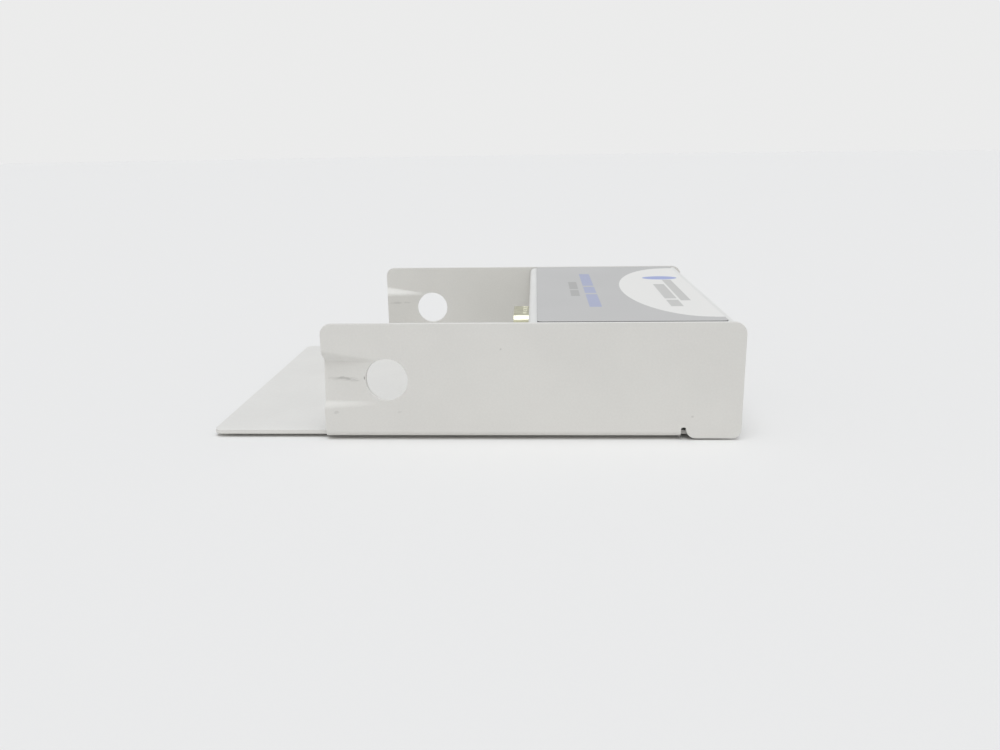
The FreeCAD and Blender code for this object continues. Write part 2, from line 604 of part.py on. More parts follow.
def make_plug():
    flange_back = PANEL_BACK + PLUG_FLANGE_THICKNESS
    half_flange = PLUG_SCREW_HALF_PITCH + PLUG_FLANGE_END
    half_height = PLUG_HEIGHT / 2 + PLUG_FLANGE_LIP
    flange = block((PANEL_BACK, flange_back),
                   (PLUG_Y - half_flange, PLUG_Y + half_flange),
                   (PLUG_Z - half_height, PLUG_Z + half_height))
    shell = join([plug_prism(0, PLUG_MOUTH, PANEL_BACK), flange])
    cuts = [plug_prism(-PLUG_WALL, PLUG_MOUTH, flange_back)] + plug_dents()
    for y in plug_screw_rows():
        cuts.append(rod(HOLE_R, point(PANEL_BACK, y, PLUG_Z), X_AXIS, PLUG_FLANGE_THICKNESS))
    save("plug_shell", [shell.cut(cuts)])

    face = PANEL_FRONT + PLUG_FACE_SETBACK
    pins = [plug_pin(y, z, face + PIN_EMBED) for y, z in pin_places()]
    save("plug_pins", pins)
    half_body = PLUG_WIDTH / 2 + PLUG_BODY_SHOULDER
    body = block((flange_back, flange_back + PLUG_BODY_DEPTH), (PLUG_Y - half_body, PLUG_Y + half_body),
                 (BOARD_TOP, PLUG_Z + PLUG_HEIGHT / 2))
    insulator = join([plug_prism(-PLUG_WALL, face, flange_back), body])
    save("plug_insulator", [insulator.cut(pins)])

    screws = []
    nuts = []
    for y in plug_screw_rows():
        start = point(PANEL_FRONT, y, PLUG_Z)
        reach = SHEET + PLUG_FLANGE_THICKNESS + NUT_HEIGHT + SCREW_END
        head = Part.makeCone(FLUSH_HEAD_R, HOLE_R, SHEET, start, X_AXIS)
        shank = rod(THREAD_R, start + X_AXIS * SHEET, X_AXIS, reach - SHEET)
        screws.append(join([head, shank]).cut(hexagon(SOCKET_R, start, X_AXIS, SOCKET_DEPTH)))
        seat = point(flange_back, y, PLUG_Z)
        nut = rod(NUT_R, seat, X_AXIS, NUT_HEIGHT)
        nuts.append(nut.cut(rod(THREAD_R, seat, X_AXIS, NUT_HEIGHT)))
    save("plug_screws", screws)
    save("plug_nuts", nuts)


# ---- host port ----
def port_prism(inset, x_start, x_end):
    """The port's outline, moved in all round, with its two upper corners cut off."""
    half = PORT_WIDTH / 2 - inset
    low = BOARD_TOP + inset
    high = PORT_TOP - inset
    outline = [(-half, low), (half, low), (half, high - PORT_TOP_CORNER),
               (half - PORT_TOP_CORNER, high), (PORT_TOP_CORNER - half, high),
               (-half, high - PORT_TOP_CORNER)]
    corners = [point(x_start, PORT_Y + y, z) for y, z in outline]
    return Part.Face(Part.makePolygon(corners + [corners[0]])).extrude(X_AXIS * (x_end - x_start))


def port_contacts():
    x = (PORT_MOUTH - PORT_CONTACT_SETBACK - PORT_TONGUE_REACH, PORT_MOUTH - 2 * PORT_CONTACT_SETBACK)
    contacts = []
    for side in (-1, 1):
        face = PORT_MID_Z + side * PORT_TONGUE_HEIGHT / 2
        zs = sorted((face, face + side * PORT_CONTACT_THICKNESS))
        for across in (-0.5, 0.5):
            y = PORT_Y + across * PORT_CONTACT_PITCH
            contacts.append(block(x, (y - PORT_CONTACT_WIDTH / 2, y + PORT_CONTACT_WIDTH / 2), zs))
    return contacts


def make_host_port():
    outer = block((PORT_BACK, PORT_MOUTH), (PORT_Y - PORT_WIDTH / 2, PORT_Y + PORT_WIDTH / 2),
                  (BOARD_TOP, PORT_TOP))
    outer = outer.makeFillet(PORT_WALL, edges_along(outer, X_AXIS, (None, None, None)))
    hollow = port_prism(PORT_WALL, PORT_BACK + PORT_WALL, PORT_MOUTH)
    save("port_shell", [outer.cut(hollow)])

    back_end = PORT_BACK + PORT_WALL + PORT_BACK_BLOCK
    back = port_prism(PORT_WALL, PORT_BACK + PORT_WALL, back_end)
    stem = block((back_end, PORT_MOUTH - PORT_CONTACT_SETBACK),
                 (PORT_Y - PORT_TONGUE_WIDTH / 2, PORT_Y + PORT_TONGUE_WIDTH / 2),
                 (PORT_MID_Z - PORT_TONGUE_HEIGHT / 2, PORT_MID_Z + PORT_TONGUE_HEIGHT / 2))
    contacts = port_contacts()
    save("port_insulator", [join([back, stem]).cut(contacts)])
    save("port_contacts", contacts)


def make_cable_lock():
    start = point(REAR_INNER - LOCK_DEPTH, LOCK_Y, PORT_MID_Z)
    shank = rod(LOCK_SHANK_R, point(REAR_INNER, LOCK_Y, PORT_MID_Z), X_AXIS, SHEET)
    body = rod(LOCK_BODY_R, start, X_AXIS, LOCK_DEPTH)
    thread = rod(LOCK_THREAD_R, start, X_AXIS, LOCK_DEPTH + SHEET)
    save("cable_lock_nut", [join([shank, body]).cut(thread)])


# ---- status lights ----
def light_rows():
    return [LIGHT_FIRST_Y, LIGHT_FIRST_Y + LIGHT_PITCH]


def make_status_lights():
    lamps = []
    guides = []
    z = BOARD_TOP + LIGHT_RISE
    lamp_front = BOARD_REAR - 2 * LAMP_LENGTH
    for y in light_rows():
        body = block((lamp_front, lamp_front + LAMP_LENGTH), (y - LAMP_SIZE / 2, y + LAMP_SIZE / 2),
                     (BOARD_TOP, z + LAMP_SIZE / 2))
        lamps.append(body)
        start = point(lamp_front + LAMP_LENGTH, y, z)
        guide = rod(LIGHT_R, start, X_AXIS, REAR_OUTER + LIGHT_PROUD - start.x)
        end = [e for e in guide.Edges if abs(e.CenterOfMass.x - REAR_OUTER - LIGHT_PROUD) < 0.01]
        guides.append(guide.makeFillet(LIGHT_PROUD, end))
    save("status_lamps", lamps)
    save("light_guides", guides)


def main():
    os.makedirs("parts", exist_ok=True)
    make_cradle()
    make_electronics_cover()
    make_top_label()
    make_foot_pads()
    make_cover_fasteners()
    make_board()
    make_board_fixings()
    make_board_parts()
    make_plug()
    make_host_port()
    make_cable_lock()
    make_status_lights()


main()
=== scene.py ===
"""The finish and the fine shapes of a slide-in module carrier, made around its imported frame."""
import json
import math

import bpy
import numpy as np
from bpy.props import FloatProperty, FloatVectorProperty, IntProperty, PointerProperty
from bpy.types import Operator, Panel, PropertyGroup
from mathutils import Matrix, Vector
from mathutils.geometry import delaunay_2d_cdt


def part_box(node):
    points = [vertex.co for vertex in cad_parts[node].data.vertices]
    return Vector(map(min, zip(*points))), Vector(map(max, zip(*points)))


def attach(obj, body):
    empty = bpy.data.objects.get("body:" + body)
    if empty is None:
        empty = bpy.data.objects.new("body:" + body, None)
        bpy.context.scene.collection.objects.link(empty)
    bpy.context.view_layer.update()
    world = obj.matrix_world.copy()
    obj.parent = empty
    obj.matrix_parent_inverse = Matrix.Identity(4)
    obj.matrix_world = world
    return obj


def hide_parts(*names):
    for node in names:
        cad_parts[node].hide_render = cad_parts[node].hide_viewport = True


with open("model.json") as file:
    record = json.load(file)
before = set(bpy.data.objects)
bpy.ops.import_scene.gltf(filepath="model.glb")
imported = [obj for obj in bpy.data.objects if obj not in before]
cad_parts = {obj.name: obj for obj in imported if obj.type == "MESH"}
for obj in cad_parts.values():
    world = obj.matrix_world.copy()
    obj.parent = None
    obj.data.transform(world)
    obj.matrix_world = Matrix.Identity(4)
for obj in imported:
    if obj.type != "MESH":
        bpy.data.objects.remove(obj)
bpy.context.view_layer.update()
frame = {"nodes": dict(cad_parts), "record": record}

bl_info = {
    "name": "Slide-in module carrier",
    "version": (1, 0, 0),
    "blender": (4, 5, 0),
    "location": "3D View > Sidebar > Carrier",
    "description": "Builds the folded sheets, fittings, printed overlay and studio of a module carrier",
    "category": "Add Mesh",
}

BODY = "root"
MM = 0.001
RIGHT_ANGLE = math.pi / 2
SIDES = (-1, 1)

# ---- places that come from the frame ----
CRADLE_LOW, CRADLE_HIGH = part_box("cradle")
COVER_LOW, COVER_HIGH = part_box("electronics_cover")
LABEL_LOW, LABEL_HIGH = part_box("top_label")
PLUG_LOW, PLUG_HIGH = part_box("plug_shell")
PADS_LOW, PADS_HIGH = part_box("foot_pads")
MOUNTS = {mount["name"]: mount for mount in frame["record"]["mounts"]}
HOLE_CENTRE = Vector(MOUNTS["latch_hole_left"]["pos_m"])
HOLE_RADIUS = MOUNTS["latch_hole_left"]["dims"]["r_mm"] * MM
UNDERSIDE = PADS_HIGH.z


# ---- settings that a user would change ----
def length(name, default, description):
    """A size property, in metres."""
    return FloatProperty(name=name, default=default, description=description, unit="LENGTH", precision=5)


def colour(name, default, description):
    """A colour property."""
    return FloatVectorProperty(name=name, default=default, description=description, subtype="COLOR",
                               size=3, min=0.0, max=1.0)


class CarrierSheetSettings(PropertyGroup):
    """Sizes of the folded sheets"""
    thickness: length("Sheet", 1.0 * MM, "Thickness of the folded steel sheet")
    bend_inside: length("Inside bend", 0.3 * MM, "Inside radius of every fold")
    edge_round: length("Edge round", 0.12 * MM, "Radius that the paint gives a cut edge")
    front_notch: length("Front notch", 0.15 * MM, "Radius where a wall's front edge meets the tongue")
    small_corner: length("Small corner", 0.4 * MM, "Radius of the punched inner corners")
    bend_steps: IntProperty(name="Bend steps", default=8, min=2, description="Facets across one fold")
    relief: length("Edge relief", 0.7 * MM, "Free edge of the base in from a fold's tangent line")
    tongue_reach: length("Tongue", 27.4 * MM, "How far the base runs out in front of the walls")
    tongue_corner: length("Tongue corner", 2.0 * MM, "Corner radius of the tongue")
    top_front_corner: length("Front corner", 2.5 * MM, "Radius of each wall's upper front corner")
    top_rear_corner: length("Rear corner", 2.8 * MM, "Radius of each wall's upper rear corner")
    tab_length: length("Tab", 12.5 * MM, "Length of each wall's rear tab")
    tab_clearance: length("Tab clearance", 0.4 * MM, "Lower edge of each tab above the table")
    tab_rear_corner: length("Tab rear corner", 2.0 * MM, "Radius at the rear of each tab")
    tab_front_corner: length("Tab front corner", 2.3 * MM, "Radius at the front of each tab")
    slot_width: length("Slot", 1.1 * MM, "Width of the slot that ends a side fold")
    slot_rise: length("Slot rise", 2.2 * MM, "Top of that slot above the underside")
    flange_length: length("Rear flange", 12.0 * MM, "Fold at the top of the rear panel")
    foot_length: length("Cover foot", 11.0 * MM, "Fold at the bottom of the cover's front panel")
    corner_nip: length("Cover nip", 1.2 * MM, "Cut off the cover's lower corners")
    lead_in_depth: length("Lead-in depth", 2.0 * MM, "Depth of each lead-in at the wall's front edge")
    lead_in_length: length("Lead-in length", 12.4 * MM, "Length over which a lead-in runs out")
    lead_in_rise: length("Lead-in rise", 13.1 * MM, "Middle of a lead-in above the underside")
    lead_in_floor: length("Lead-in floor", 5.0 * MM, "Half the height of a lead-in's flat floor")
    lead_in_tilt: FloatProperty(name="Lead-in tilt", default=0.45, min=0.0, max=1.0, subtype="FACTOR",
                                description="How much shallower a lead-in is at its lower edge")
    lead_in_crease: length("Lead-in crease", 0.45 * MM, "Softness of a lead-in's creases")
    lead_in_pull: length("Lead-in pull", 0.25 * MM, "How far the pressing draws the front edge back")


class CarrierColourSettings(PropertyGroup):
    """Colours of the pieces"""
    cradle: colour("Cradle paint", (0.724, 0.715, 0.688), "Powder coat of the cradle")
    cover: colour("Cover paint", (0.750, 0.747, 0.725), "Powder coat of the cover")
    scuff: colour("Scuff", (0.16, 0.155, 0.14), "Rub marks left by the modules")
    label_grey: colour("Overlay grey", (0.510, 0.506, 0.498), "Printed ground of the overlay")
    label_white: colour("Overlay white", (0.780, 0.772, 0.748), "Half-round panel of the overlay")
    label_blue: colour("Overlay blue", (0.20, 0.27, 0.62), "Blue print")
    label_dark: colour("Overlay dark", (0.20, 0.20, 0.19), "Dark print")
    plug: colour("Plug shell", (0.80, 0.79, 0.60), "Passivated plating of the module plug")
    steel: colour("Zinc", (0.66, 0.66, 0.64), "Zinc-plated steel")
    tin: colour("Tin", (0.78, 0.78, 0.77), "Tin-plated steel")
    gold: colour("Gold", (0.84, 0.62, 0.28), "Gold flash on the contacts")
    aluminium: colour("Aluminium", (0.80, 0.80, 0.81), "Capacitor cans")
    black_plastic: colour("Black plastic", (0.022, 0.022, 0.024), "Plug body and chips")
    white_plastic: colour("White plastic", (0.70, 0.70, 0.67), "Host port's tongue")
    ceramic: colour("Ceramic", (0.36, 0.24, 0.13), "Chip capacitors")
    lamp: colour("Lamp", (0.42, 0.62, 0.36), "Status lamps")
    board: colour("Board", (0.02, 0.13, 0.05), "Solder mask of the main board")


class CarrierPrintSettings(PropertyGroup):
    """Sizes of the overlay's print"""
    panel_depth: length("Panel depth", 17.6 * MM, "Half-round panel's reach from its middle to its front")
    panel_half_width: length("Panel half-width", 39.4 * MM, "Half-round panel's half-width")
    panel_setback: length("Panel setback", 2.4 * MM, "Half-round panel's middle in from the rear edge")
    title_setback: length("Title setback", 14.3 * MM, "Blue line of bars from the overlay's front edge")
    title_height: length("Title height", 3.0 * MM, "Height of the blue bars")
    title_half_length: length("Title half-length", 27.2 * MM, "Half the length of the blue line")
    small_setback: length("Small line setback", 10.1 * MM, "Small dark bars from the front edge")
    small_height: length("Small line height", 2.3 * MM, "Height of the small dark bars")
    small_half_length: length("Small line half-length", 11.8 * MM, "Half the length of the small line")


class CarrierStudioSettings(PropertyGroup):
    """Camera, floor and light"""
    lens: FloatProperty(name="Lens", default=30.58, description="Focal length", unit="CAMERA")
    camera_place: FloatVectorProperty(name="Camera", size=3, subtype="TRANSLATION", unit="LENGTH",
                                      default=(14.737 * MM, -230.832 * MM, 65.589 * MM),
                                      description="Where the camera stands")
    camera_yaw: FloatProperty(name="Yaw", default=math.radians(2.516), subtype="ANGLE",
                              description="Turn of the camera about the upright axis")
    camera_pitch: FloatProperty(name="Pitch", default=math.radians(15.091), subtype="ANGLE",
                                description="How far the camera looks down")
    camera_roll: FloatProperty(name="Roll", default=math.radians(-0.801), subtype="ANGLE",
                               description="Turn of the camera about its own line of sight")
    floor_radius: length("Floor radius", 6.0, "Radius of the round floor")
    floor_colour: colour("Floor", (0.800, 0.794, 0.784), "Pale floor")
    horizon_light: colour("Horizon", (0.835, 0.836, 0.834), "Light from level directions")
    front_light: colour("Front light", (0.575, 0.560, 0.525), "Light from above the camera's side")
    rear_light: colour("Rear light", (0.480, 0.485, 0.500), "Light from above the far side")
    top_strength: FloatProperty(name="Top light", default=1.71, description="Broad soft light from above")
    top_tint: colour("Top tint", (0.913, 0.948, 1.0), "Colour of the light from above")
    top_spread: FloatProperty(name="Top spread", default=math.radians(50), subtype="ANGLE",
                              description="How wide the light from above is, so how soft its shadows are")


SETTINGS = {
    "carrier_sheet": CarrierSheetSettings,
    "carrier_colours": CarrierColourSettings,
    "carrier_print": CarrierPrintSettings,
    "carrier_studio": CarrierStudioSettings,
}


# ---- flat outlines ----
ARC_STEP = math.radians(9)
CIRCLE_POINTS = 72
HEXAGON_SIDES = 6


def rounded_outline(corners):
    """Points of a closed outline from (u, v, radius) corners, each one rounded by an arc."""
    points = []
    for index, (u, v, radius) in enumerate(corners):
        here = Vector((u, v))
        to_before = (Vector(corners[index - 1][:2]) - here).normalized()
        to_after = (Vector(corners[(index + 1) % len(corners)][:2]) - here).normalized()
        if radius == 0:
            points.append(here)
            continue
        half = to_before.angle(to_after) / 2
        centre = here + (to_before + to_after).normalized() * (radius / math.sin(half))
        start = here + to_before * (radius / math.tan(half)) - centre
        end = here + to_after * (radius / math.tan(half)) - centre
        turn = math.remainder(math.atan2(end.y, end.x) - math.atan2(start.y, start.x), math.tau)
        steps = max(3, math.ceil(abs(turn) / ARC_STEP))
        first = math.atan2(start.y, start.x)
        for step in range(steps + 1):
            angle = first + turn * step / steps
            points.append(centre + Vector((math.cos(angle), math.sin(angle))) * radius)
    return points


def circle(u, v, radius, count=CIRCLE_POINTS):
    """Points of a circle, counter-clockwise."""
    angles = (step * math.tau / count for step in range(count))
    return [Vector((u + radius * math.cos(angle), v + radius * math.sin(angle))) for angle in angles]


def hexagon(u, v, corner_radius):
    """A regular hexagon around a middle."""
    return circle(u, v, corner_radius, HEXAGON_SIDES)


def evenly(low, high, pitch):
    """Numbers from low to high in equal steps of about pitch."""
    count = max(1, round((high - low) / pitch))
    return [low + (high - low) * step / count for step in range(count + 1)]


def rectangle(low, high, radius):
    """A rectangle with rounded corners."""
    return rounded_outline([(low[0], low[1], radius), (high[0], low[1], radius),
                            (high[0], high[1], radius), (low[0], high[1], radius)])


def signed_area(loop):
    """Area of a closed outline, positive where it runs counter-clockwise."""
    return sum(a.x * b.y - b.x * a.y for a, b in zip(loop, loop[1:] + loop[:1])) / 2


def miters(loop):
    """For each point, the way out of the material that moves both its edges out by one."""
    out = []
    for index, here in enumerate(loop):
        before = (here - loop[index - 1]).normalized()
        after = (loop[(index + 1) % len(loop)] - here).normalized()
        first = Vector((before.y, -before.x))
        second = Vector((after.y, -after.x))
        out.append((first + second) / (1 + first.dot(second)))
    return out


def moved_in(loop, distance):
    """The same outline, moved into the material."""
    return [point - way * distance for point, way in zip(loop, miters(loop))]


# ---- sheets: a flat pattern, folded or not, with soft cut edges ----
RIM_ANGLES = tuple(math.radians(angle) for angle in (30, 60, 90))
PROBE = 0.02 * MM
WELD = 1e-7
EDGE_SLACK = 10 * WELD
LEAST_SQUARE = 1e-18
PRESS_PITCH = 0.3 * MM
PLAIN_PITCH = 5.0 * MM
SEED_MARGIN = 0.12 * MM


def edge_arrays(loops):
    """Start and end points of every edge of some closed outlines."""
    starts = np.array([point for loop in loops for point in loop], float)
    ends = np.array([point for loop in loops for point in loop[1:] + loop[:1]], float)
    return starts, ends


def inside(points, loops):
    """Which points lie inside the first loop and outside the others."""
    starts, ends = edge_arrays(loops)
    x, y = points[:, :1], points[:, 1:]
    spans = (starts[:, 1] > y) != (ends[:, 1] > y)
    rise = np.where(ends[:, 1] == starts[:, 1], 1.0, ends[:, 1] - starts[:, 1])
    crossing = starts[:, 0] + (y - starts[:, 1]) * (ends[:, 0] - starts[:, 0]) / rise
    return (spans & (x < crossing)).sum(1) % 2 == 1


def distance_to(points, loops):
    """How far each point is from the nearest edge."""
    starts, ends = edge_arrays(loops)
    run = ends - starts
    offset = points[:, None, :] - starts
    share = np.clip((offset * run).sum(2) / np.maximum((run * run).sum(1), LEAST_SQUARE), 0, 1)
    return np.sqrt(((offset - share[..., None] * run) ** 2).sum(2)).min(1)


def grid(low, high, pitch):
    """Evenly spaced flat points that fill a rectangle."""
    return [Vector((u, v)) for u in evenly(low[0], high[0], pitch) for v in evenly(low[1], high[1], pitch)]


def filled(loops, seeds, creases):
    """Flat points and triangles that fill the first loop less the others."""
    points = [point for loop in loops for point in loop]
    edges = []
    first = 0
    for loop in loops:
        edges += [(first + i, first + (i + 1) % len(loop)) for i in range(len(loop))]
        first += len(loop)
    for start, end in creases:
        edges.append((len(points), len(points) + 1))
        points += [Vector(start), Vector(end)]
    if seeds:
        places = np.array(seeds, float)
        apart = inside(places, loops) & (distance_to(places, loops) > SEED_MARGIN)
        points += [seed for seed, wanted in zip(seeds, apart) if wanted]
    flat, _, faces, *_ = delaunay_2d_cdt(points, edges, [], 0, WELD)
    corners = np.array([tuple(flat[i]) for face in faces for i in face]).reshape(-1, 3, 2)
    kept = inside(corners.mean(1), loops)
    triangles = []
    for face, wanted in zip(faces, kept):
        if wanted:
            a, b, c = (flat[i] for i in face)
            counter_clockwise = (b - a).cross(c - a) > 0
            triangles.append(tuple(face) if counter_clockwise else tuple(reversed(face)))
    used = sorted({i for triangle in triangles for i in triangle})
    number_of = {old: new for new, old in enumerate(used)}
    return [flat[i] for i in used], [tuple(number_of[i] for i in triangle) for triangle in triangles]


def rim_loops(triangles):
    """The closed runs of edges that only one triangle has, with the material on their left."""
    following = {}
    halves = {(t[i], t[(i + 1) % 3]) for t in triangles for i in range(3)}
    for start, end in halves:
        if (end, start) not in halves:
            following[start] = end
    loops = []
    while following:
        start, here = following.popitem()
        loop = [start]
        while here != start:
            loop.append(here)
            here = following.pop(here)
        loops.append(loop)
    return loops


class Shape:
    """Points, normals and faces that become one mesh."""

    def __init__(self):
        self.points = []
        self.normals = []
        self.faces = []

    def add(self, point, normal):
        self.points.append(tuple(point))
        self.normals.append(tuple(normal))
        return len(self.points) - 1

    def strip(self, ring, following):
        """Quads between two closed rings of as many points, seen from outside."""
        for i in range(len(ring)):
            j = (i + 1) % len(ring)
            self.faces.append((ring[i], following[i], following[j], ring[j]))


def add_sheet(shape, outlines, fold, thickness, edge_round, seeds=(), creases=()):
    """A sheet of even thickness: outlines lie in the flat, and fold(u, v) gives the mapping there."""
    loops = []
    for index, outline in enumerate(outlines):
        outwards = signed_area(outline) > 0
        turned = outline if outwards == (index == 0) else outline[::-1]
        loops.append(moved_in(turned, edge_round))
    flat, triangles = filled(loops, list(seeds), creases)
    frames = []
    for u, v in flat:
        place = fold(u, v)
        along = (place(u + PROBE, v) - place(u - PROBE, v)) / (2 * PROBE)
        across = (place(u, v + PROBE) - place(u, v - PROBE)) / (2 * PROBE)
        frames.append((place(u, v), along, across, along.cross(across).normalized()))
    skins = []
    for side in (1, -1):
        skins.append([shape.add(at + up * (side * thickness / 2), up * side) for at, _, _, up in frames])
    shape.faces += [tuple(skins[0][i] for i in t) for t in triangles]
    shape.faces += [tuple(skins[1][i] for i in reversed(t)) for t in triangles]
    for loop in rim_loops(triangles):
        ways = miters([flat[i] for i in loop])
        rings = [[skins[0][i] for i in loop]]
        for side, angles in ((1, RIM_ANGLES), (-1, RIM_ANGLES[::-1])):
            for angle in angles:
                reach = edge_round * math.sin(angle)
                level = side * (thickness / 2 - edge_round * (1 - math.cos(angle)))
                ring = []
                for i, way in zip(loop, ways):
                    at, along, across, up = frames[i]
                    out = along * way.x + across * way.y
                    normal = out.normalized() * math.sin(angle) + up * (side * math.cos(angle))
                    ring.append(shape.add(at + up * level + out * reach, normal))
                rings.append(ring)
        rings.append([skins[1][i] for i in loop])
        for ring, following in zip(rings, rings[1:]):
            shape.strip(ring, following)


def flat_on(origin, along, across):
    """A mapping that lays the flat pattern on a plane."""
    def place(u, v):
        return origin + along * u + across * v
    return lambda u, v: place


def along_folds(runs, distance):
    """Place and heading at a distance along folded runs of (length, turn), from the origin along +X."""
    place = Vector((0.0, 0.0))
    heading = 0.0
    for run, turn in runs:
        step = min(distance, run) if (run, turn) != runs[-1] else distance
        if turn == 0:
            place += Vector((math.cos(heading), math.sin(heading))) * step
        else:
            radius = run / turn
            centre = place + Vector((-math.sin(heading), math.cos(heading))) * radius
            heading += step / radius
            place = centre + Vector((math.sin(heading), -math.cos(heading))) * radius
        distance -= step
        if distance <= 0:
            break
    return place, heading


# ---- pieces ----
def make_piece(name, shape, material, replaced=()):
    """A mesh object from a shape, riding on the carrier and standing for the named frame nodes."""
    mesh = bpy.data.meshes.new(name)
    mesh.from_pydata(shape.points, [], shape.faces)
    mesh.polygons.foreach_set("use_smooth", [True] * len(mesh.polygons))
    mesh.normals_split_custom_set_from_vertices(shape.normals)
    mesh.materials.append(material)
    mesh.update()
    piece = bpy.data.objects.new(name, mesh)
    bpy.context.scene.collection.objects.link(piece)
    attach(piece, BODY)
    if replaced:
        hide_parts(*replaced)
    return piece


def dress(node_names, material):
    """Gives frame nodes a material and leaves their shape."""
    for name in node_names:
        node = frame["nodes"][name]
        node.data.materials.clear()
        node.data.materials.append(material)


# ---- materials ----
CLOUD_RANGE = (0.3, 0.7)
FAINT_CLOUDS = (0.985, 1.015)


def shade(tone, factor):
    """A tone made darker or lighter by a factor."""
    return tuple(min(1.0, channel * factor) for channel in tone)


class Nodes:
    """A node tree, with short ways to add to it."""

    def __init__(self, tree, coordinates):
        self.tree = tree
        self.place = self.add("ShaderNodeTexCoord").outputs[coordinates]

    def add(self, kind, **settings):
        node = self.tree.nodes.new(kind)
        for key, value in settings.items():
            setattr(node, key, value)
        return node

    def feed(self, socket, value):
        if isinstance(value, bpy.types.NodeSocket):
            self.tree.links.new(value, socket)
        else:
            socket.default_value = value

    def math(self, operation, *values, clamp=False):
        node = self.add("ShaderNodeMath", operation=operation, use_clamp=clamp)
        for socket, value in zip(node.inputs, values):
            self.feed(socket, value)
        return node.outputs[0]

    def ramp(self, value, low, high):
        """0 at low, 1 at high, smooth between."""
        node = self.add("ShaderNodeMapRange", interpolation_type="SMOOTHSTEP")
        self.feed(node.inputs["Value"], value)
        node.inputs["From Min"].default_value = low
        node.inputs["From Max"].default_value = high
        return node.outputs["Result"]

    def noise(self, size, detail=2.0, stretch=(1, 1, 1)):
        """Noise whose features are about as large as size, in metres."""
        scaled = self.add("ShaderNodeVectorMath", operation="MULTIPLY")
        self.feed(scaled.inputs[0], self.place)
        scaled.inputs[1].default_value = Vector(stretch) / size
        node = self.add("ShaderNodeTexNoise")
        node.inputs["Scale"].default_value = 1.0
        node.inputs["Detail"].default_value = detail
        self.feed(node.inputs["Vector"], scaled.outputs[0])
        return node.outputs["Fac"]

    def mix(self, share, first, second):
        node = self.add("ShaderNodeMix", data_type="RGBA")
        self.feed(node.inputs["Factor"], share)
        for socket, value in zip((node.inputs["A"], node.inputs["B"]), (first, second)):
            self.feed(socket, value if isinstance(value, bpy.types.NodeSocket) else (*value, 1.0))
        return node.outputs["Result"]

    def axes(self):
        node = self.add("ShaderNodeSeparateXYZ")
        self.feed(node.inputs[0], self.place)
        return node.outputs

    def raised(self, value, start, rise):
        """start where value is 0, and start plus rise where it is 1."""
        return self.math("ADD", start, self.math("MULTIPLY", value, rise))

    def clouded(self, tone, size, shades, detail=2.0):
        """A tone that drifts between two shades of itself over patches of about size."""
        share = self.ramp(self.noise(size, detail), *CLOUD_RANGE)
        return self.mix(share, *(shade(tone, factor) for factor in shades))


class Paint(Nodes):
    """A material's node tree, around its shader."""

    def __init__(self, name):
        self.material = bpy.data.materials.new(name)
        self.material.use_nodes = True
        super().__init__(self.material.node_tree, "Object")
        self.shader = self.tree.nodes["Principled BSDF"]

    def set(self, **values):
        """Sets or feeds the shader's own sockets; a name's underscores stand for spaces."""
        for name, value in values.items():
            self.feed(self.shader.inputs[name.replace("_", " ")], value)

    def bump(self, height, depth, normal=None):
        node = self.add("ShaderNodeBump")
        node.inputs["Strength"].default_value = 1.0
        node.inputs["Distance"].default_value = depth
        self.feed(node.inputs["Height"], height)
        if normal is not None:
            self.feed(node.inputs["Normal"], normal)
        return node.outputs["Normal"]


def blotch(paint, x, y, middle, half_size, softness):
    """1 in the middle of an oval, fading to 0 at its rim."""
    squares = []
    for axis, centre, half in zip((x, y), middle, half_size):
        off = paint.math("DIVIDE", paint.math("SUBTRACT", axis, centre), half)
        squares.append(paint.math("MULTIPLY", off, off))
    return paint.ramp(paint.math("ADD", *squares), 1.0, 1.0 - softness)


COAT_CLOUD = 18 * MM
COAT_GRAIN = 0.5 * MM
GRAIN_RANGE = (0.32, 0.72)
GRAIN_SHARE = 0.04
GRAIN_TONE = (0.3, 0.3, 0.28)
PEEL_SIZE, PEEL_DEPTH = 0.85 * MM, 0.012 * MM
FINE_SIZE, FINE_DEPTH = 0.28 * MM, 0.004 * MM
COAT_GLOSS_PATCH = 3 * MM
COAT_ROUGHNESS = (0.5, 0.12)
COAT_SHINE = 0.4


def powder_coat(name, tone, scuffs=None):
    """Matt baked powder coat: fine orange-peel, faint clouding and grain."""
    paint = Paint(name)
    base = paint.clouded(tone, COAT_CLOUD, FAINT_CLOUDS, detail=3)
    grain = paint.ramp(paint.noise(COAT_GRAIN, detail=3), *GRAIN_RANGE)
    base = paint.mix(grain, paint.mix(GRAIN_SHARE, base, GRAIN_TONE), base)
    if scuffs:
        base = scuffs(paint, base)
    relief = paint.bump(paint.noise(PEEL_SIZE, detail=1.5), PEEL_DEPTH)
    relief = paint.bump(paint.noise(FINE_SIZE), FINE_DEPTH, normal=relief)
    roughness = paint.raised(paint.noise(COAT_GLOSS_PATCH), *COAT_ROUGHNESS)
    paint.set(Base_Color=base, Roughness=roughness, Normal=relief, Specular_IOR_Level=COAT_SHINE)
    return paint.material


# Rub marks on the side walls, in millimetres from the latch hole's centre:
# middle, half-size, strength, and side (+1 for +Y).
SCUFF_MARKS = (
    ((-10.2, 0.0), (4.7, 0.6), 0.17, -1),
    ((-9.9, 0.1), (2.1, 0.36), 0.28, -1),
    ((-7.4, -0.35), (1.4, 0.3), 0.24, -1),
    ((-5.15, 0.5), (0.13, 0.6), 0.9, -1),
    ((-12.0, -7.7), (0.75, 0.5), 0.22, -1),
    ((69.5, -8.9), (0.4, 0.35), 0.25, -1),
    ((26.1, 7.1), (0.3, 0.3), 0.28, -1),
    ((2.7, -7.7), (0.7, 0.35), 0.12, -1),
    ((-11.8, 1.75), (2.6, 0.45), 0.2, 1),
    ((-8.2, 1.75), (1.4, 0.4), 0.18, 1),
)


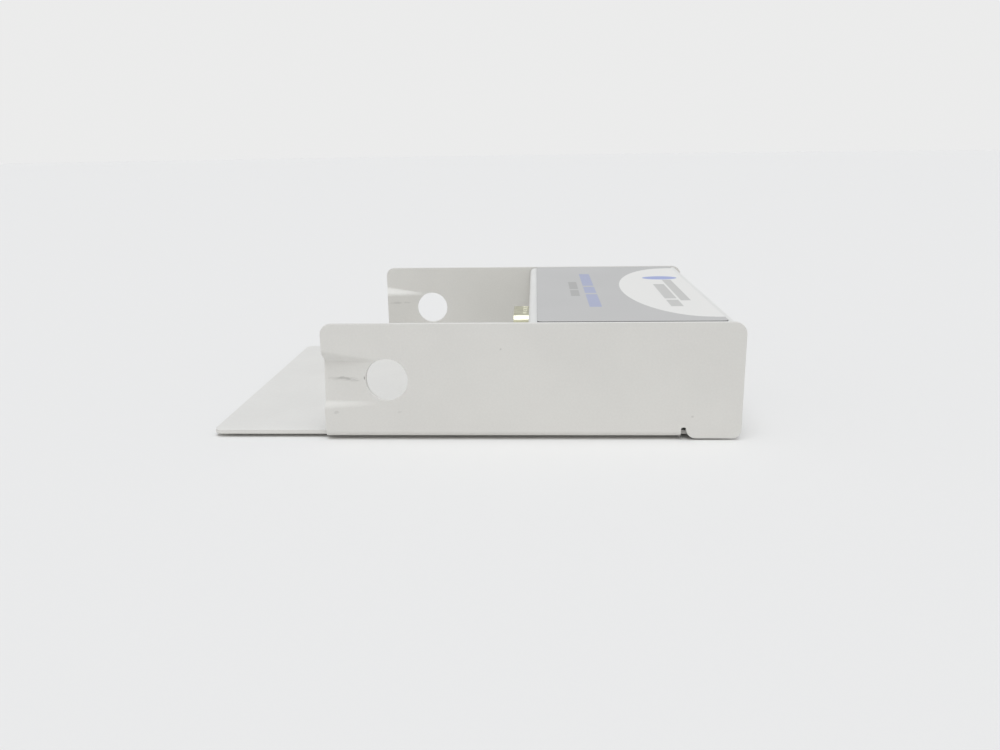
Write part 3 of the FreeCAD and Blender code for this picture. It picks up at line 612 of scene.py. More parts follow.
NOISE_MIDDLE = 0.5
RUB_WANDER_SIZE = 2.2 * MM
RUB_WANDER = 0.9 * MM
RUB_BREAK_SIZE = 0.5 * MM
RUB_BREAK_STRETCH = (0.35, 1, 1)
RUB_BREAK_RANGE = (0.3, 0.62)
RUB_BROKEN = (0.4, 0.6)
RUB_SOFTNESS = 0.9


def rub_marks(paint, base):
    """Dark rubs left by the modules' latches, mostly along the lead-ins."""
    tone = bpy.context.scene.carrier_colours.scuff
    x, y, z = paint.axes()
    wander = paint.math("SUBTRACT", paint.noise(RUB_WANDER_SIZE), NOISE_MIDDLE)
    z = paint.math("ADD", z, paint.math("MULTIPLY", wander, RUB_WANDER))
    streaks = paint.noise(RUB_BREAK_SIZE, detail=4, stretch=RUB_BREAK_STRETCH)
    broken = paint.raised(paint.ramp(streaks, *RUB_BREAK_RANGE), *RUB_BROKEN)
    masks = {side: paint.math("GREATER_THAN", paint.math("MULTIPLY", y, float(side)), 0.0) for side in SIDES}
    for middle, half_size, strength, side in SCUFF_MARKS:
        centre = (HOLE_CENTRE.x + middle[0] * MM, HOLE_CENTRE.z + middle[1] * MM)
        mark = blotch(paint, x, z, centre, [half * MM for half in half_size], RUB_SOFTNESS)
        mark = paint.math("MULTIPLY", mark, masks[side])
        share = paint.math("MULTIPLY", paint.math("MULTIPLY", mark, broken), strength)
        base = paint.mix(share, base, tone)
    return base


# A finish's gloss is how far its roughness starts below the given one, and how far it rises from there.
PLATING_CLOUD = 2.5 * MM
PLATING_SHADES = (0.9, 1.08)
PLATING_GLOSS = (0.06, 0.14)
PLATING_DEPTH = 0.0015 * MM
PLASTIC_CLOUD = 4 * MM
PLASTIC_SHADES = (0.93, 1.07)
PLASTIC_GLOSS = (0.05, 0.1)
PLASTIC_DEPTH = 0.002 * MM


def plated_metal(name, tone, roughness=0.32, grain=0.25 * MM, stretch=(1, 1, 1)):
    """Thin plating over steel: slight clouding and a fine drawn grain."""
    paint = Paint(name)
    base = paint.clouded(tone, PLATING_CLOUD, PLATING_SHADES, detail=3)
    lines = paint.noise(grain, stretch=stretch)
    start, rise = PLATING_GLOSS
    paint.set(Base_Color=base, Roughness=paint.raised(lines, roughness - start, rise),
              Normal=paint.bump(lines, PLATING_DEPTH), Metallic=1.0)
    return paint.material


def moulded_plastic(name, tone, roughness=0.45, grain=0.15 * MM):
    """Moulded plastic with a fine spark-eroded texture."""
    paint = Paint(name)
    base = paint.clouded(tone, PLASTIC_CLOUD, PLASTIC_SHADES)
    speckle = paint.noise(grain)
    start, rise = PLASTIC_GLOSS
    paint.set(Base_Color=base, Roughness=paint.raised(speckle, roughness - start, rise),
              Normal=paint.bump(speckle, PLASTIC_DEPTH))
    return paint.material


RUBBER_TONES = ((0.010, 0.010, 0.010), (0.022, 0.022, 0.021))
RUBBER_CLOUD = 2 * MM
PORE_SIZE, PORE_DEPTH = 0.12 * MM, 0.01 * MM


def pad_rubber():
    """Dull black rubber with fine pores."""
    paint = Paint("pad_rubber")
    clouds = paint.ramp(paint.noise(RUBBER_CLOUD, detail=3), *CLOUD_RANGE)
    pores = paint.noise(PORE_SIZE, detail=3)
    paint.set(Base_Color=paint.mix(clouds, *RUBBER_TONES), Roughness=0.82,
              Normal=paint.bump(pores, PORE_DEPTH))
    return paint.material


TRACK_SPACING = 9 * MM
TRACK_WIDTH = 0.03
TRACK_OFFSET = 0.37
TRACK_SHARE = 0.8
TRACK_LIGHTER = 2.2
WEAVE_SIZE, WEAVE_DEPTH = 0.6 * MM, 0.004 * MM
WEAVE_STRETCH = (1, 0.3, 1)


def board_laminate():
    """Green solder mask over a pattern of copper tracks."""
    tone = bpy.context.scene.carrier_colours.board
    paint = Paint("board_green")
    tracks = paint.add("ShaderNodeTexBrick", offset=TRACK_OFFSET, squash=1.0)
    tracks.inputs["Scale"].default_value = 1 / TRACK_SPACING
    tracks.inputs["Mortar Size"].default_value = TRACK_WIDTH
    for field, level in (("Color1", 0), ("Color2", 0), ("Mortar", 1)):
        tracks.inputs[field].default_value = (level, level, level, 1)
    paint.feed(tracks.inputs["Vector"], paint.place)
    share = paint.math("MULTIPLY", tracks.outputs["Color"], TRACK_SHARE)
    weave = paint.noise(WEAVE_SIZE, detail=1, stretch=WEAVE_STRETCH)
    paint.set(Base_Color=paint.mix(share, tone, shade(tone, TRACK_LIGHTER)), Roughness=0.34,
              Normal=paint.bump(weave, WEAVE_DEPTH))
    return paint.material


GUIDE_TONES = ((0.72, 0.80, 0.72), (0.82, 0.88, 0.82))
HAZE_SIZE, HAZE_DEPTH = 0.6 * MM, 0.002 * MM


def clear_guide():
    """Hazy clear plastic of the light guides."""
    paint = Paint("guide_plastic")
    haze = paint.noise(HAZE_SIZE)
    paint.set(Base_Color=paint.mix(haze, *GUIDE_TONES), Roughness=0.22,
              Normal=paint.bump(haze, HAZE_DEPTH), Transmission_Weight=0.45, IOR=1.58)
    return paint.material


# ---- overlay artwork ----
# Word lengths of each printed line, as shares of the line, with a gap of one share between words.
TITLE_WORDS = (9, 5, 11)
SMALL_WORDS = (6, 8)
# The panel's lines: setback from the rear edge, middle in Y and height, in millimetres, then the words.
PANEL_LINES = (((7.1, -9.05, 3.0), (5, 13)), ((4.0, -1.1, 2.5), (15,)))
PANEL_LINE_HALF_LENGTH = 17 * MM
TITLE_MIDDLE = 0.9 * MM
SMALL_MIDDLE = 1.0 * MM
LOZENGE_SETBACK = 6.7 * MM
LOZENGE_MIDDLE = 19.5 * MM
LOZENGE_HALF_SIZE = (5.2 * MM, 3.2 * MM)
TITLE_INK, SMALL_INK, PANEL_INK, LOZENGE_INK = 0.42, 0.35, 0.4, 0.75
PRINT_SOFTNESS = 0.12 * MM
PANEL_SOFTNESS = 0.02
LOZENGE_SOFTNESS = 0.15
FILM_CLOUD = 30 * MM
# Below these depths from its top, the overlay's cut edge is painted near-black: painted shade along its edge.
FILM_EDGE_SHADE_DEPTHS = (0.05 * MM, 0.09 * MM)
FILM_EDGE_PAINTED_SHADE = (0.09, 0.09, 0.10)
FILM_GRAIN, FILM_DEPTH = 0.2 * MM, 0.003 * MM


def printed_bars(paint, x, y, centre, height, half_length, words):
    """1 on a line of plain bars that runs along Y, 0 off it and in the gaps."""
    across = paint.math("ABSOLUTE", paint.math("SUBTRACT", x, centre[0]))
    total = paint.ramp(across, height / 2 + PRINT_SOFTNESS, height / 2 - PRINT_SOFTNESS)
    share = 2 * half_length / (sum(words) + len(words) - 1)
    place = centre[1] - half_length
    bars = 0.0
    for word in words:
        middle = place + word * share / 2
        off = paint.math("ABSOLUTE", paint.math("SUBTRACT", y, middle))
        bar = paint.ramp(off, word * share / 2 + PRINT_SOFTNESS, word * share / 2 - PRINT_SOFTNESS)
        bars = paint.math("MAXIMUM", bars, bar)
        place += (word + 1) * share
    return paint.math("MULTIPLY", total, bars)


def label_film():
    """Matt overlay: lavender grey ground, white half-round panel, plain bars, one blue lozenge, and painted
    shade on its cut edge.
    """
    tones = bpy.context.scene.carrier_colours
    art = bpy.context.scene.carrier_print
    paint = Paint("label_film")
    x, y, z = paint.axes()
    panel_x = LABEL_HIGH.x - art.panel_setback
    panel = blotch(paint, x, y, (panel_x, 0.0), (art.panel_depth, art.panel_half_width), PANEL_SOFTNESS)
    beyond = paint.math("MULTIPLY", paint.math("GREATER_THAN", x, panel_x),
                        paint.math("LESS_THAN", paint.math("ABSOLUTE", y), art.panel_half_width))
    base = paint.mix(paint.math("MAXIMUM", panel, beyond),
                     paint.clouded(tones.label_grey, FILM_CLOUD, FAINT_CLOUDS), tones.label_white)
    lines = [((LABEL_LOW.x + art.title_setback, TITLE_MIDDLE), art.title_height,
              art.title_half_length, TITLE_WORDS, TITLE_INK, tones.label_blue),
             ((LABEL_LOW.x + art.small_setback, SMALL_MIDDLE), art.small_height,
              art.small_half_length, SMALL_WORDS, SMALL_INK, tones.label_dark)]
    for (setback, middle, height), words in PANEL_LINES:
        centre = (LABEL_HIGH.x - setback * MM - height * MM / 2, middle * MM)
        lines.append((centre, height * MM, PANEL_LINE_HALF_LENGTH, words, PANEL_INK, tones.label_dark))
    for centre, height, half_length, words, ink, tone in lines:
        line = printed_bars(paint, x, y, centre, height, half_length, words)
        base = paint.mix(paint.math("MULTIPLY", line, ink), base, tone)
    lozenge = blotch(paint, x, y, (LABEL_HIGH.x - LOZENGE_SETBACK, LOZENGE_MIDDLE), LOZENGE_HALF_SIZE,
                     LOZENGE_SOFTNESS)
    base = paint.mix(paint.math("MULTIPLY", lozenge, LOZENGE_INK), base, tones.label_blue)
    # Painted shade: the overlay's side edge is darkened to near-black.
    edge = paint.ramp(z, *(LABEL_HIGH.z - depth for depth in FILM_EDGE_SHADE_DEPTHS))
    paint.set(Base_Color=paint.mix(edge, base, FILM_EDGE_PAINTED_SHADE), Roughness=0.5,
              Normal=paint.bump(paint.noise(FILM_GRAIN), FILM_DEPTH))
    return paint.material


# ---- the cradle ----
SCREW_HOLE = 1.35 * MM
FLUSH_SEAT = 2.28 * MM
FLUSH_HEAD = (2.25 * MM, 2.25 * MM)
STANDOFF_FOOT = 2.78 * MM
STANDOFF_HALF = (2.75 * MM, 2.382 * MM)
PORT_GAP = 0.3 * MM
PORT_CORNER = 0.5 * MM
LOCK_HOLE = 2.55 * MM
GUIDE_GAP = 0.1 * MM
LEAD_IN_MARGIN = 1.0 * MM


def sheet_measures():
    """Lengths that both folded sheets share."""
    sheet = bpy.context.scene.carrier_sheet
    middle_radius = sheet.bend_inside + sheet.thickness / 2
    return sheet, sheet.bend_inside + sheet.thickness, middle_radius * RIGHT_ANGLE


def soft_excess(value, width):
    """The part of value above 0, with the step at 0 rounded over width each way."""
    if value <= -width:
        return 0.0
    if value >= width:
        return value
    return (value + width) ** 2 / (4 * width)


def lead_in(x, z):
    """How deep the lead-in is pressed at a place on a wall."""
    sheet = bpy.context.scene.carrier_sheet
    wall_front = CRADLE_LOW.x + sheet.tongue_reach
    left = soft_excess(wall_front + sheet.lead_in_length - x, 3 * sheet.lead_in_crease)
    depth = sheet.lead_in_depth * min(1.0, left / sheet.lead_in_length)
    level = (z - UNDERSIDE - sheet.lead_in_rise) / sheet.lead_in_floor
    depth *= 1 - sheet.lead_in_tilt * (1 - max(-1.0, min(1.0, level))) / 2
    beyond = (abs(level) - 1) * sheet.lead_in_floor
    return soft_excess(depth - beyond, sheet.lead_in_crease) - soft_excess(-beyond, sheet.lead_in_crease)


def lead_in_reach():
    """How far a lead-in's flanks run above and below its middle, at the wall's front edge."""
    sheet = bpy.context.scene.carrier_sheet
    return sheet.lead_in_floor + sheet.lead_in_depth + 3 * sheet.lead_in_crease


class CradleFlat:
    """Distances in the cradle's flat pattern: u along the length, v around the side folds."""

    def __init__(self):
        self.sheet, self.bend_outside, self.arc = sheet_measures()
        self.side_start = CRADLE_HIGH.y - self.bend_outside
        self.base_edge = self.side_start - self.sheet.relief
        self.at_level = self.side_start + self.arc - UNDERSIDE - self.bend_outside
        self.wall_front = CRADLE_LOW.x + self.sheet.tongue_reach
        self.wall_top = self.at_level + CRADLE_HIGH.z
        self.tab_front = CRADLE_HIGH.x - self.sheet.tab_length
        self.fold_end = self.tab_front - self.sheet.slot_width
        self.rear_start = COVER_HIGH.x - self.bend_outside
        self.panel_height = COVER_HIGH.z - self.sheet.thickness - UNDERSIDE - 2 * self.bend_outside
        self.flange_end = (2 * self.arc + self.panel_height + self.rear_start
                           + self.sheet.flange_length - self.bend_outside)
        self.lead_in_level = self.at_level + UNDERSIDE + self.sheet.lead_in_rise


def cradle_folds(flat):
    """The mapping from the cradle's flat pattern to its folded middle surface."""
    sheet = flat.sheet
    half = sheet.thickness / 2
    level = UNDERSIDE + half
    rear_runs = [(flat.rear_start, 0), (flat.arc, RIGHT_ANGLE), (flat.panel_height, 0),
                 (flat.arc, RIGHT_ANGLE), (sheet.flange_length, 0)]
    side_runs = [(flat.side_start, 0), (flat.arc, RIGHT_ANGLE), (CRADLE_HIGH.z, 0)]

    def rear(u, v):
        at, _ = along_folds(rear_runs, u) if u > 0 else (Vector((u, 0.0)), 0.0)
        return Vector((at.x, v, level + at.y))

    def side(u, v):
        at, _ = along_folds(side_runs, abs(v))
        return wall_place(u, at.x, level + at.y, v)

    def tab(u, v):
        rise = abs(v) - flat.side_start - flat.arc
        return Vector((u, math.copysign(CRADLE_HIGH.y - half, v), UNDERSIDE + flat.bend_outside + rise))

    def wall_place(x, y, z, v):
        depth = lead_in(x, z)
        pull = sheet.lead_in_pull * depth / sheet.lead_in_depth
        return Vector((x + pull, math.copysign(y - depth, v), z))

    def fold(u, v):
        if u > flat.fold_end:
            return tab if abs(v) > flat.base_edge + EDGE_SLACK else rear
        return side if abs(v) > flat.base_edge else rear

    return fold


def cradle_outline(flat):
    """The cradle's flat outline, its front edge in short runs where a lead-in bends it."""
    sheet = flat.sheet
    corner = sheet.small_corner
    slot_top = flat.at_level + UNDERSIDE + sheet.slot_rise
    tab_low = flat.at_level + sheet.tab_clearance
    reach = lead_in_reach()
    pressed = evenly(flat.lead_in_level - reach, flat.lead_in_level + reach, PRESS_PITCH)
    half = [
        (CRADLE_LOW.x, flat.base_edge, sheet.tongue_corner),
        (flat.wall_front, flat.base_edge, sheet.front_notch),
        *((flat.wall_front, v, 0) for v in pressed),
        (flat.wall_front, flat.wall_top, sheet.top_front_corner),
        (CRADLE_HIGH.x, flat.wall_top, sheet.top_rear_corner),
        (CRADLE_HIGH.x, tab_low, sheet.tab_rear_corner),
        (flat.tab_front, tab_low, sheet.tab_front_corner),
        (flat.tab_front, slot_top, corner),
        (flat.fold_end, slot_top, corner),
        (flat.fold_end, flat.base_edge, corner),
        (flat.flange_end, flat.base_edge, corner),
    ]
    return rounded_outline(half + [(u, -v, radius) for u, v, radius in reversed(half)])


def build_cradle():
    """Cuts, presses and folds the cradle."""
    flat = CradleFlat()
    sheet = flat.sheet
    holes = [circle(HOLE_CENTRE.x, way * (flat.at_level + HOLE_CENTRE.z), HOLE_RADIUS) for way in SIDES]
    holes += rear_panel_holes(flat.rear_start + flat.arc - UNDERSIDE - flat.bend_outside)
    holes += [circle(x, y, FLUSH_SEAT) for x, y in places_of("cover_front_screws", FLUSH_HEAD, 1, 3)]
    holes += [hexagon(x, y, STANDOFF_FOOT) for x, y in places_of("board_standoffs", STANDOFF_HALF, 2, 2)]
    for x, y in places_of("cover_rear_screws", FLUSH_HEAD, 1, 2):
        holes.append(circle(flat.flange_end - (x - COVER_HIGH.x + sheet.flange_length), y, SCREW_HOLE))
    creases = []
    for share in evenly(0.0, flat.arc, flat.arc / sheet.bend_steps):
        for way in SIDES:
            v = way * (flat.side_start + share)
            creases.append(((flat.wall_front, v), (flat.fold_end, v)))
        for start in (flat.rear_start, flat.rear_start + flat.arc + flat.panel_height):
            creases.append(((start + share, -flat.base_edge), (start + share, flat.base_edge)))
    reach = lead_in_reach()
    lead_in_end = flat.wall_front + sheet.lead_in_length + LEAD_IN_MARGIN
    plain = grid((CRADLE_LOW.x, -flat.wall_top), (CRADLE_HIGH.x, flat.wall_top), PLAIN_PITCH)
    seeds = [seed for seed in plain
             if not (seed.x < lead_in_end and abs(abs(seed.y) - flat.lead_in_level) < reach)]
    for way in SIDES:
        middle = way * flat.lead_in_level
        seeds += grid((flat.wall_front, middle - reach), (lead_in_end, middle + reach), PRESS_PITCH)
    shape = Shape()
    add_sheet(shape, [cradle_outline(flat)] + holes, cradle_folds(flat), sheet.thickness,
              sheet.edge_round, seeds, creases)
    paint = powder_coat("cradle_paint", bpy.context.scene.carrier_colours.cradle, rub_marks)
    make_piece("cradle_sheet", shape, paint, ["cradle"])


def places_of(node, half_size, columns, rows):
    """Middles in X and Y of a frame node's equal pieces, evenly spread over its box."""
    low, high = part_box(node)
    xs = ([(low.x + high.x) / 2] if columns == 1 else
          [low.x + half_size[0] + step * (high.x - low.x - 2 * half_size[0]) for step in range(columns)])
    pitch = (high.y - low.y - 2 * half_size[1]) / (rows - 1)
    return [(x, low.y + half_size[1] + row * pitch) for x in xs for row in range(rows)]


def rear_panel_holes(panel_start):
    """Holes in the rear panel, where panel_start is the flat distance of level zero."""
    port_low, port_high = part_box("port_shell")
    lock_low, lock_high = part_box("cable_lock_nut")
    guide_low, guide_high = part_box("light_guides")
    loops = [rectangle((panel_start + port_low.z - PORT_GAP, port_low.y - PORT_GAP),
                       (panel_start + port_high.z + PORT_GAP, port_high.y + PORT_GAP), PORT_CORNER)]
    lock_level = (lock_low.z + lock_high.z) / 2
    loops.append(circle(panel_start + lock_level, (lock_low.y + lock_high.y) / 2, LOCK_HOLE))
    guide_radius = (guide_high.z - guide_low.z) / 2
    for y in (guide_low.y + guide_radius, guide_high.y - guide_radius):
        loops.append(circle(panel_start + (guide_low.z + guide_high.z) / 2, y, guide_radius + GUIDE_GAP))
    return loops


# ---- the cover and its overlay ----
NIP_CORNER = 0.15 * MM
PLUG_GAP = 0.25 * MM
LABEL_CORNER = 1.2 * MM
LABEL_EDGE_ROUND = 0.06 * MM


def build_cover():
    """Cuts and folds the electronics cover."""
    sheet, bend_outside, arc = sheet_measures()
    foot = sheet.foot_length - bend_outside
    panel = COVER_HIGH.z - COVER_LOW.z - 2 * bend_outside
    top_run = COVER_HIGH.x - COVER_LOW.x
    runs = [(foot, 0), (arc, -RIGHT_ANGLE), (panel, 0), (arc, -RIGHT_ANGLE), (top_run, 0)]
    start = Vector((COVER_LOW.x + sheet.foot_length, 0, COVER_LOW.z + sheet.thickness / 2))

    def place(u, v):
        at, _ = along_folds(runs, u) if u > 0 else (Vector((u, 0.0)), 0.0)
        return start + Vector((-at.x, v, -at.y))

    top = foot + 2 * arc + panel
    end = top + COVER_HIGH.x - COVER_LOW.x - bend_outside
    half = COVER_HIGH.y
    nipped = half - sheet.corner_nip
    corner = sheet.small_corner
    side = [(0.0, nipped, corner), (foot + arc, nipped, NIP_CORNER), (foot + arc, half, corner),
            (end, half, corner)]
    outline = rounded_outline([(u, -v, r) for u, v, r in side] + side[::-1])
    to_flat = foot + arc - COVER_LOW.z - bend_outside
    holes = [[Vector((point.y + to_flat, point.x)) for point in plug_outline(PLUG_GAP)]]
    screw_low, screw_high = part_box("plug_screws")
    radius = (screw_high.z - screw_low.z) / 2
    for y in (screw_low.y + radius, screw_high.y - radius):
        holes.append(circle(to_flat + (screw_low.z + screw_high.z) / 2, y, FLUSH_SEAT))
    for x, y in places_of("cover_front_screws", FLUSH_HEAD, 1, 3):
        holes.append(circle(COVER_LOW.x + sheet.foot_length - x, y, SCREW_HOLE))
    for x, y in places_of("cover_rear_screws", FLUSH_HEAD, 1, 2):
        holes.append(circle(end - (COVER_HIGH.x - x), y, FLUSH_SEAT))
    creases = []
    for share in evenly(0.0, arc, arc / sheet.bend_steps):
        for first in (foot, foot + arc + panel):
            creases.append(((first + share, -half), (first + share, half)))
    shape = Shape()
    seeds = grid((0.0, -half), (end, half), PLAIN_PITCH)
    add_sheet(shape, [outline] + holes, lambda u, v: place, sheet.thickness, sheet.edge_round, seeds, creases)
    paint = powder_coat("cover_paint", bpy.context.scene.carrier_colours.cover)
    make_piece("cover_sheet", shape, paint, ["electronics_cover"])


def build_label():
    """Lays the printed overlay on the cover."""
    shape = Shape()
    middle = (LABEL_LOW + LABEL_HIGH) / 2
    half = (LABEL_HIGH - LABEL_LOW) / 2
    mapping = flat_on(middle, Vector((1, 0, 0)), Vector((0, 1, 0)))
    add_sheet(shape, [rectangle((-half.x, -half.y), (half.x, half.y), LABEL_CORNER)], mapping,
              2 * half.z, LABEL_EDGE_ROUND)
    make_piece("label_overlay", shape, label_film(), ["top_label"])


# ---- the module plug ----
PLUG_CORNER = 2.6 * MM
PLUG_SLANT = math.tan(math.radians(10.0))
PLUG_WALL = 0.4 * MM
PLUG_HALF_WIDTH = 8.5 * MM
PLUG_HALF_HEIGHT = 4.45 * MM
PLUG_FLANGE = 0.5 * MM
FLANGE_CORNER = 1.0 * MM
LIP = 0.15 * MM
LIP_STEPS = 4
MOUTH_STATIONS = (1, 4, 8)
SHELL_PITCH = 0.14 * MM
DENT_HALF_WIDTH = 0.46 * MM
DENT_DEPTH = 0.26 * MM
DENT_FROM_PANEL = (2.2 * MM, 0.5 * MM)
DENT_FADE = 0.3 * MM
DENT_PITCHES = {1: 3.1 * MM, -1: 2.3 * MM}
DENT_STEPS = (-1.5, -0.5, 0.5, 1.5)
PIN_RADIUS = 0.38 * MM
PIN_TIP = 0.45 * MM
PIN_TIP_STEPS = 6
PIN_FLAT = 0.1 * PIN_RADIUS
PIN_SIDES = 20
PIN_PITCH = 2.29 * MM
PIN_ROW_PITCH = 1.98 * MM
PINS_PER_ROW = 5


def plug_middle():
    """Y and Z of the middle of the plug."""
    return (PLUG_LOW.y + PLUG_HIGH.y) / 2, (PLUG_LOW.z + PLUG_HIGH.z) / 2


def plug_outline(grow):
    """The plug's D shape in Y and Z, grown all round."""
    y, z = plug_middle()
    rise = PLUG_HALF_HEIGHT + grow
    top = PLUG_HALF_WIDTH + grow
    low = top - 2 * rise * PLUG_SLANT
    corner = PLUG_CORNER + grow
    return rounded_outline([(y - low, z - rise, corner), (y + low, z - rise, corner),
                            (y + top, z + rise, corner), (y - top, z + rise, corner)])


def divided(loop, pitch):
    """The same closed outline with its long edges cut into equal runs."""
    points = []
    for start, end in zip(loop, loop[1:] + loop[:1]):
        points += [start.lerp(end, share) for share in evenly(0.0, 1.0, pitch / (end - start).length)[:-1]]
    return points


def fade(value, low, high):
    """0 at low, 1 at high, smooth between."""
    share = min(1.0, max(0.0, (value - low) / (high - low)))
    return share * share * (3 - 2 * share)


def dent(point, x):
    """How deep the plug's shell is dented at a place on it."""
    y, z = plug_middle()
    side = 1 if point.y > z else -1
    if abs(point.y - z) < PLUG_HALF_HEIGHT - DENT_DEPTH:
        return 0.0
    nearest = min(abs(point.x - y - step * DENT_PITCHES[side]) for step in DENT_STEPS)
    across = max(0.0, 1 - (nearest / DENT_HALF_WIDTH) ** 2)
    first, last = (COVER_LOW.x - reach for reach in DENT_FROM_PANEL)
    along = fade(x, first, first + DENT_FADE) * fade(-x, -last, DENT_FADE - last)
    return DENT_DEPTH * across * along


def add_shell_ring(shape, loop, x, depth, lean):
    """One ring of the plug's shell: depth in from its outer skin, its normal leaning towards -X."""
    ring = []
    for index, (point, way) in enumerate(zip(loop, miters(loop))):
        here = dent(point, x)
        before, after = loop[index - 1], loop[(index + 1) % len(loop)]
        along = after - before
        slope = (dent(after, x) - dent(before, x)) / along.length
        run = (dent(point, x + PROBE) - dent(point, x - PROBE)) / (2 * PROBE)
        tangent = along.normalized()
        out = Vector((run, way.x + tangent.x * slope, way.y + tangent.y * slope)).normalized()
        normal = out * math.cos(lean) + Vector((-1, 0, 0)) * math.sin(lean)
        at = point - way * (depth + here)
        ring.append(shape.add((x, at.x, at.y), normal))
    return ring


def add_plug_shell(shape):
    """The shell: a thin D-shaped tube with a rounded mouth and grip dents."""
    loop = divided(plug_outline(0.0), SHELL_PITCH)
    mouth = PLUG_LOW.x
    root = PLUG_HIGH.x
    first, last = (COVER_LOW.x - reach for reach in DENT_FROM_PANEL)
    stations = ([mouth + LIP * count for count in MOUTH_STATIONS] + evenly(first, last, SHELL_PITCH)
                + evenly(last + 2 * SHELL_PITCH, root, MM))
    turns = [(x, 0.0, 0.0) for x in reversed(stations)]
    for step in range(1, LIP_STEPS + 1):
        angle = RIGHT_ANGLE * step / LIP_STEPS
        turns.append((mouth + LIP * (1 - math.sin(angle)), LIP * (1 - math.cos(angle)), angle))
    for step in range(LIP_STEPS + 1):
        angle = RIGHT_ANGLE * (1 + step / LIP_STEPS)
        turns.append((mouth + LIP * (1 - math.sin(angle)), PLUG_WALL - LIP * (1 + math.cos(angle)), angle))
    turns += [(x, PLUG_WALL, math.pi) for x in stations[1:]]
    rings = [add_shell_ring(shape, loop, *turn) for turn in turns]
    rings.append(rings[0])
    for ring, following in zip(rings, rings[1:]):
        shape.strip(ring, following)


def add_plug_flange(shape):
    """The flange that holds the shell behind the cover's front panel."""
    y, z = plug_middle()
    rise = (PLUG_HIGH.z - PLUG_LOW.z) / 2
    reach = (PLUG_HIGH.y - PLUG_LOW.y) / 2
    screw_low, screw_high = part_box("plug_screws")
    screw_radius = (screw_high.z - screw_low.z) / 2
    outlines = [rectangle((y - reach, z - rise), (y + reach, z + rise), FLANGE_CORNER),
                plug_outline(2 * PROBE)]
    outlines += [circle(row, z, SCREW_HOLE)
                 for row in (screw_low.y + screw_radius, screw_high.y - screw_radius)]
    middle = Vector((PLUG_HIGH.x - PLUG_FLANGE / 2, 0, 0))
    mapping = flat_on(middle, Vector((0, 1, 0)), Vector((0, 0, 1)))
    add_sheet(shape, outlines, mapping, PLUG_FLANGE, bpy.context.scene.carrier_sheet.edge_round)


def add_turned(shape, profile, origin, axis, count):
    """A turned solid from (along, radius) points, the first and last of them on its axis."""
    side = axis.orthogonal().normalized()
    other = axis.cross(side)
    normals = []
    for index in range(len(profile)):
        before, after = profile[max(index - 1, 0)], profile[min(index + 1, len(profile) - 1)]
        normals.append(Vector((after[1] - before[1], after[0] - before[0])).normalized())
    rings = []
    for (along, radius), (back, out) in list(zip(profile, normals))[1:-1]:
        ring = []
        for step in range(count):
            angle = step * math.tau / count
            way = side * math.cos(angle) + other * math.sin(angle)
            ring.append(shape.add(origin + axis * along + way * radius, way * out - axis * back))
        rings.append(ring)
    for ring, following in zip(rings, rings[1:]):
        shape.strip(following, ring)
    for (along, _), ring, way in ((profile[0], rings[0], -1), (profile[-1], rings[-1], 1)):
        pole = shape.add(origin + axis * along, axis * way)
        for i in range(count):
            a, b = (ring[i], ring[(i + 1) % count])
            shape.faces.append((pole, a, b) if way > 0 else (pole, b, a))


def quarter(start, end, steps=4):
    """Points of a quarter round between two (along, radius) places, bulging outwards."""
    points = []
    for step in range(steps + 1):
        angle = RIGHT_ANGLE * step / steps
        points.append((start[0] + (end[0] - start[0]) * (1 - math.cos(angle)),
                       start[1] + (end[1] - start[1]) * math.sin(angle)))
    return points


def add_pins(shape):
    """Three staggered rows of round pins with rounded tips."""
    y, z = plug_middle()
    low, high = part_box("plug_pins")
    length = high.x - low.x
    profile = ([(0.0, 0.0)] + quarter((0.0, PIN_FLAT), (PIN_TIP, PIN_RADIUS), PIN_TIP_STEPS)
               + [(length, PIN_RADIUS), (length, 0.0)])
    for row in (-1, 0, 1):
        for column in range(PINS_PER_ROW):
            across = (column - (PINS_PER_ROW - 1) / 2) * PIN_PITCH + row * PIN_PITCH / 4
            origin = Vector((low.x, y + across, z + row * PIN_ROW_PITCH))
            add_turned(shape, profile, origin, Vector((1, 0, 0)), PIN_SIDES)


PAD_RADIUS = 4.5 * MM
PAD_ROUND = 0.18 * MM
PAD_TOP_ROUND = PAD_ROUND / 3


def add_pads(shape):
    """Four thin round pads with softened rims."""
    height = PADS_HIGH.z - PADS_LOW.z
    profile = ([(0.0, 0.0)] + quarter((0.0, PAD_RADIUS - PAD_ROUND), (PAD_ROUND, PAD_RADIUS))
               + [(height - PAD_TOP_ROUND, PAD_RADIUS), (height, PAD_RADIUS - PAD_TOP_ROUND), (height, 0.0)])
    for x, y in places_of("foot_pads", (PAD_RADIUS, PAD_RADIUS), 2, 2):
        add_turned(shape, profile, Vector((x, y, PADS_LOW.z)), Vector((0, 0, 1)), CIRCLE_POINTS)


# ---- the studio ----
FLOOR_SEGMENTS = 128
FLOOR_RINGS = (0.1, 0.4)
PAPER_PATCH = 1.5 * MM
PAPER_SHADE = 0.996
SIDE_BLEND = (-0.5, 0.4)
HORIZON_BLEND = (0.16, 0.4)
TOP_LIGHT_WAY = Vector((0.0, -0.27, 1.0))
SENSOR_WIDTH = 36.0
CLIP_NEAR, CLIP_FAR = 0.005, 20.0


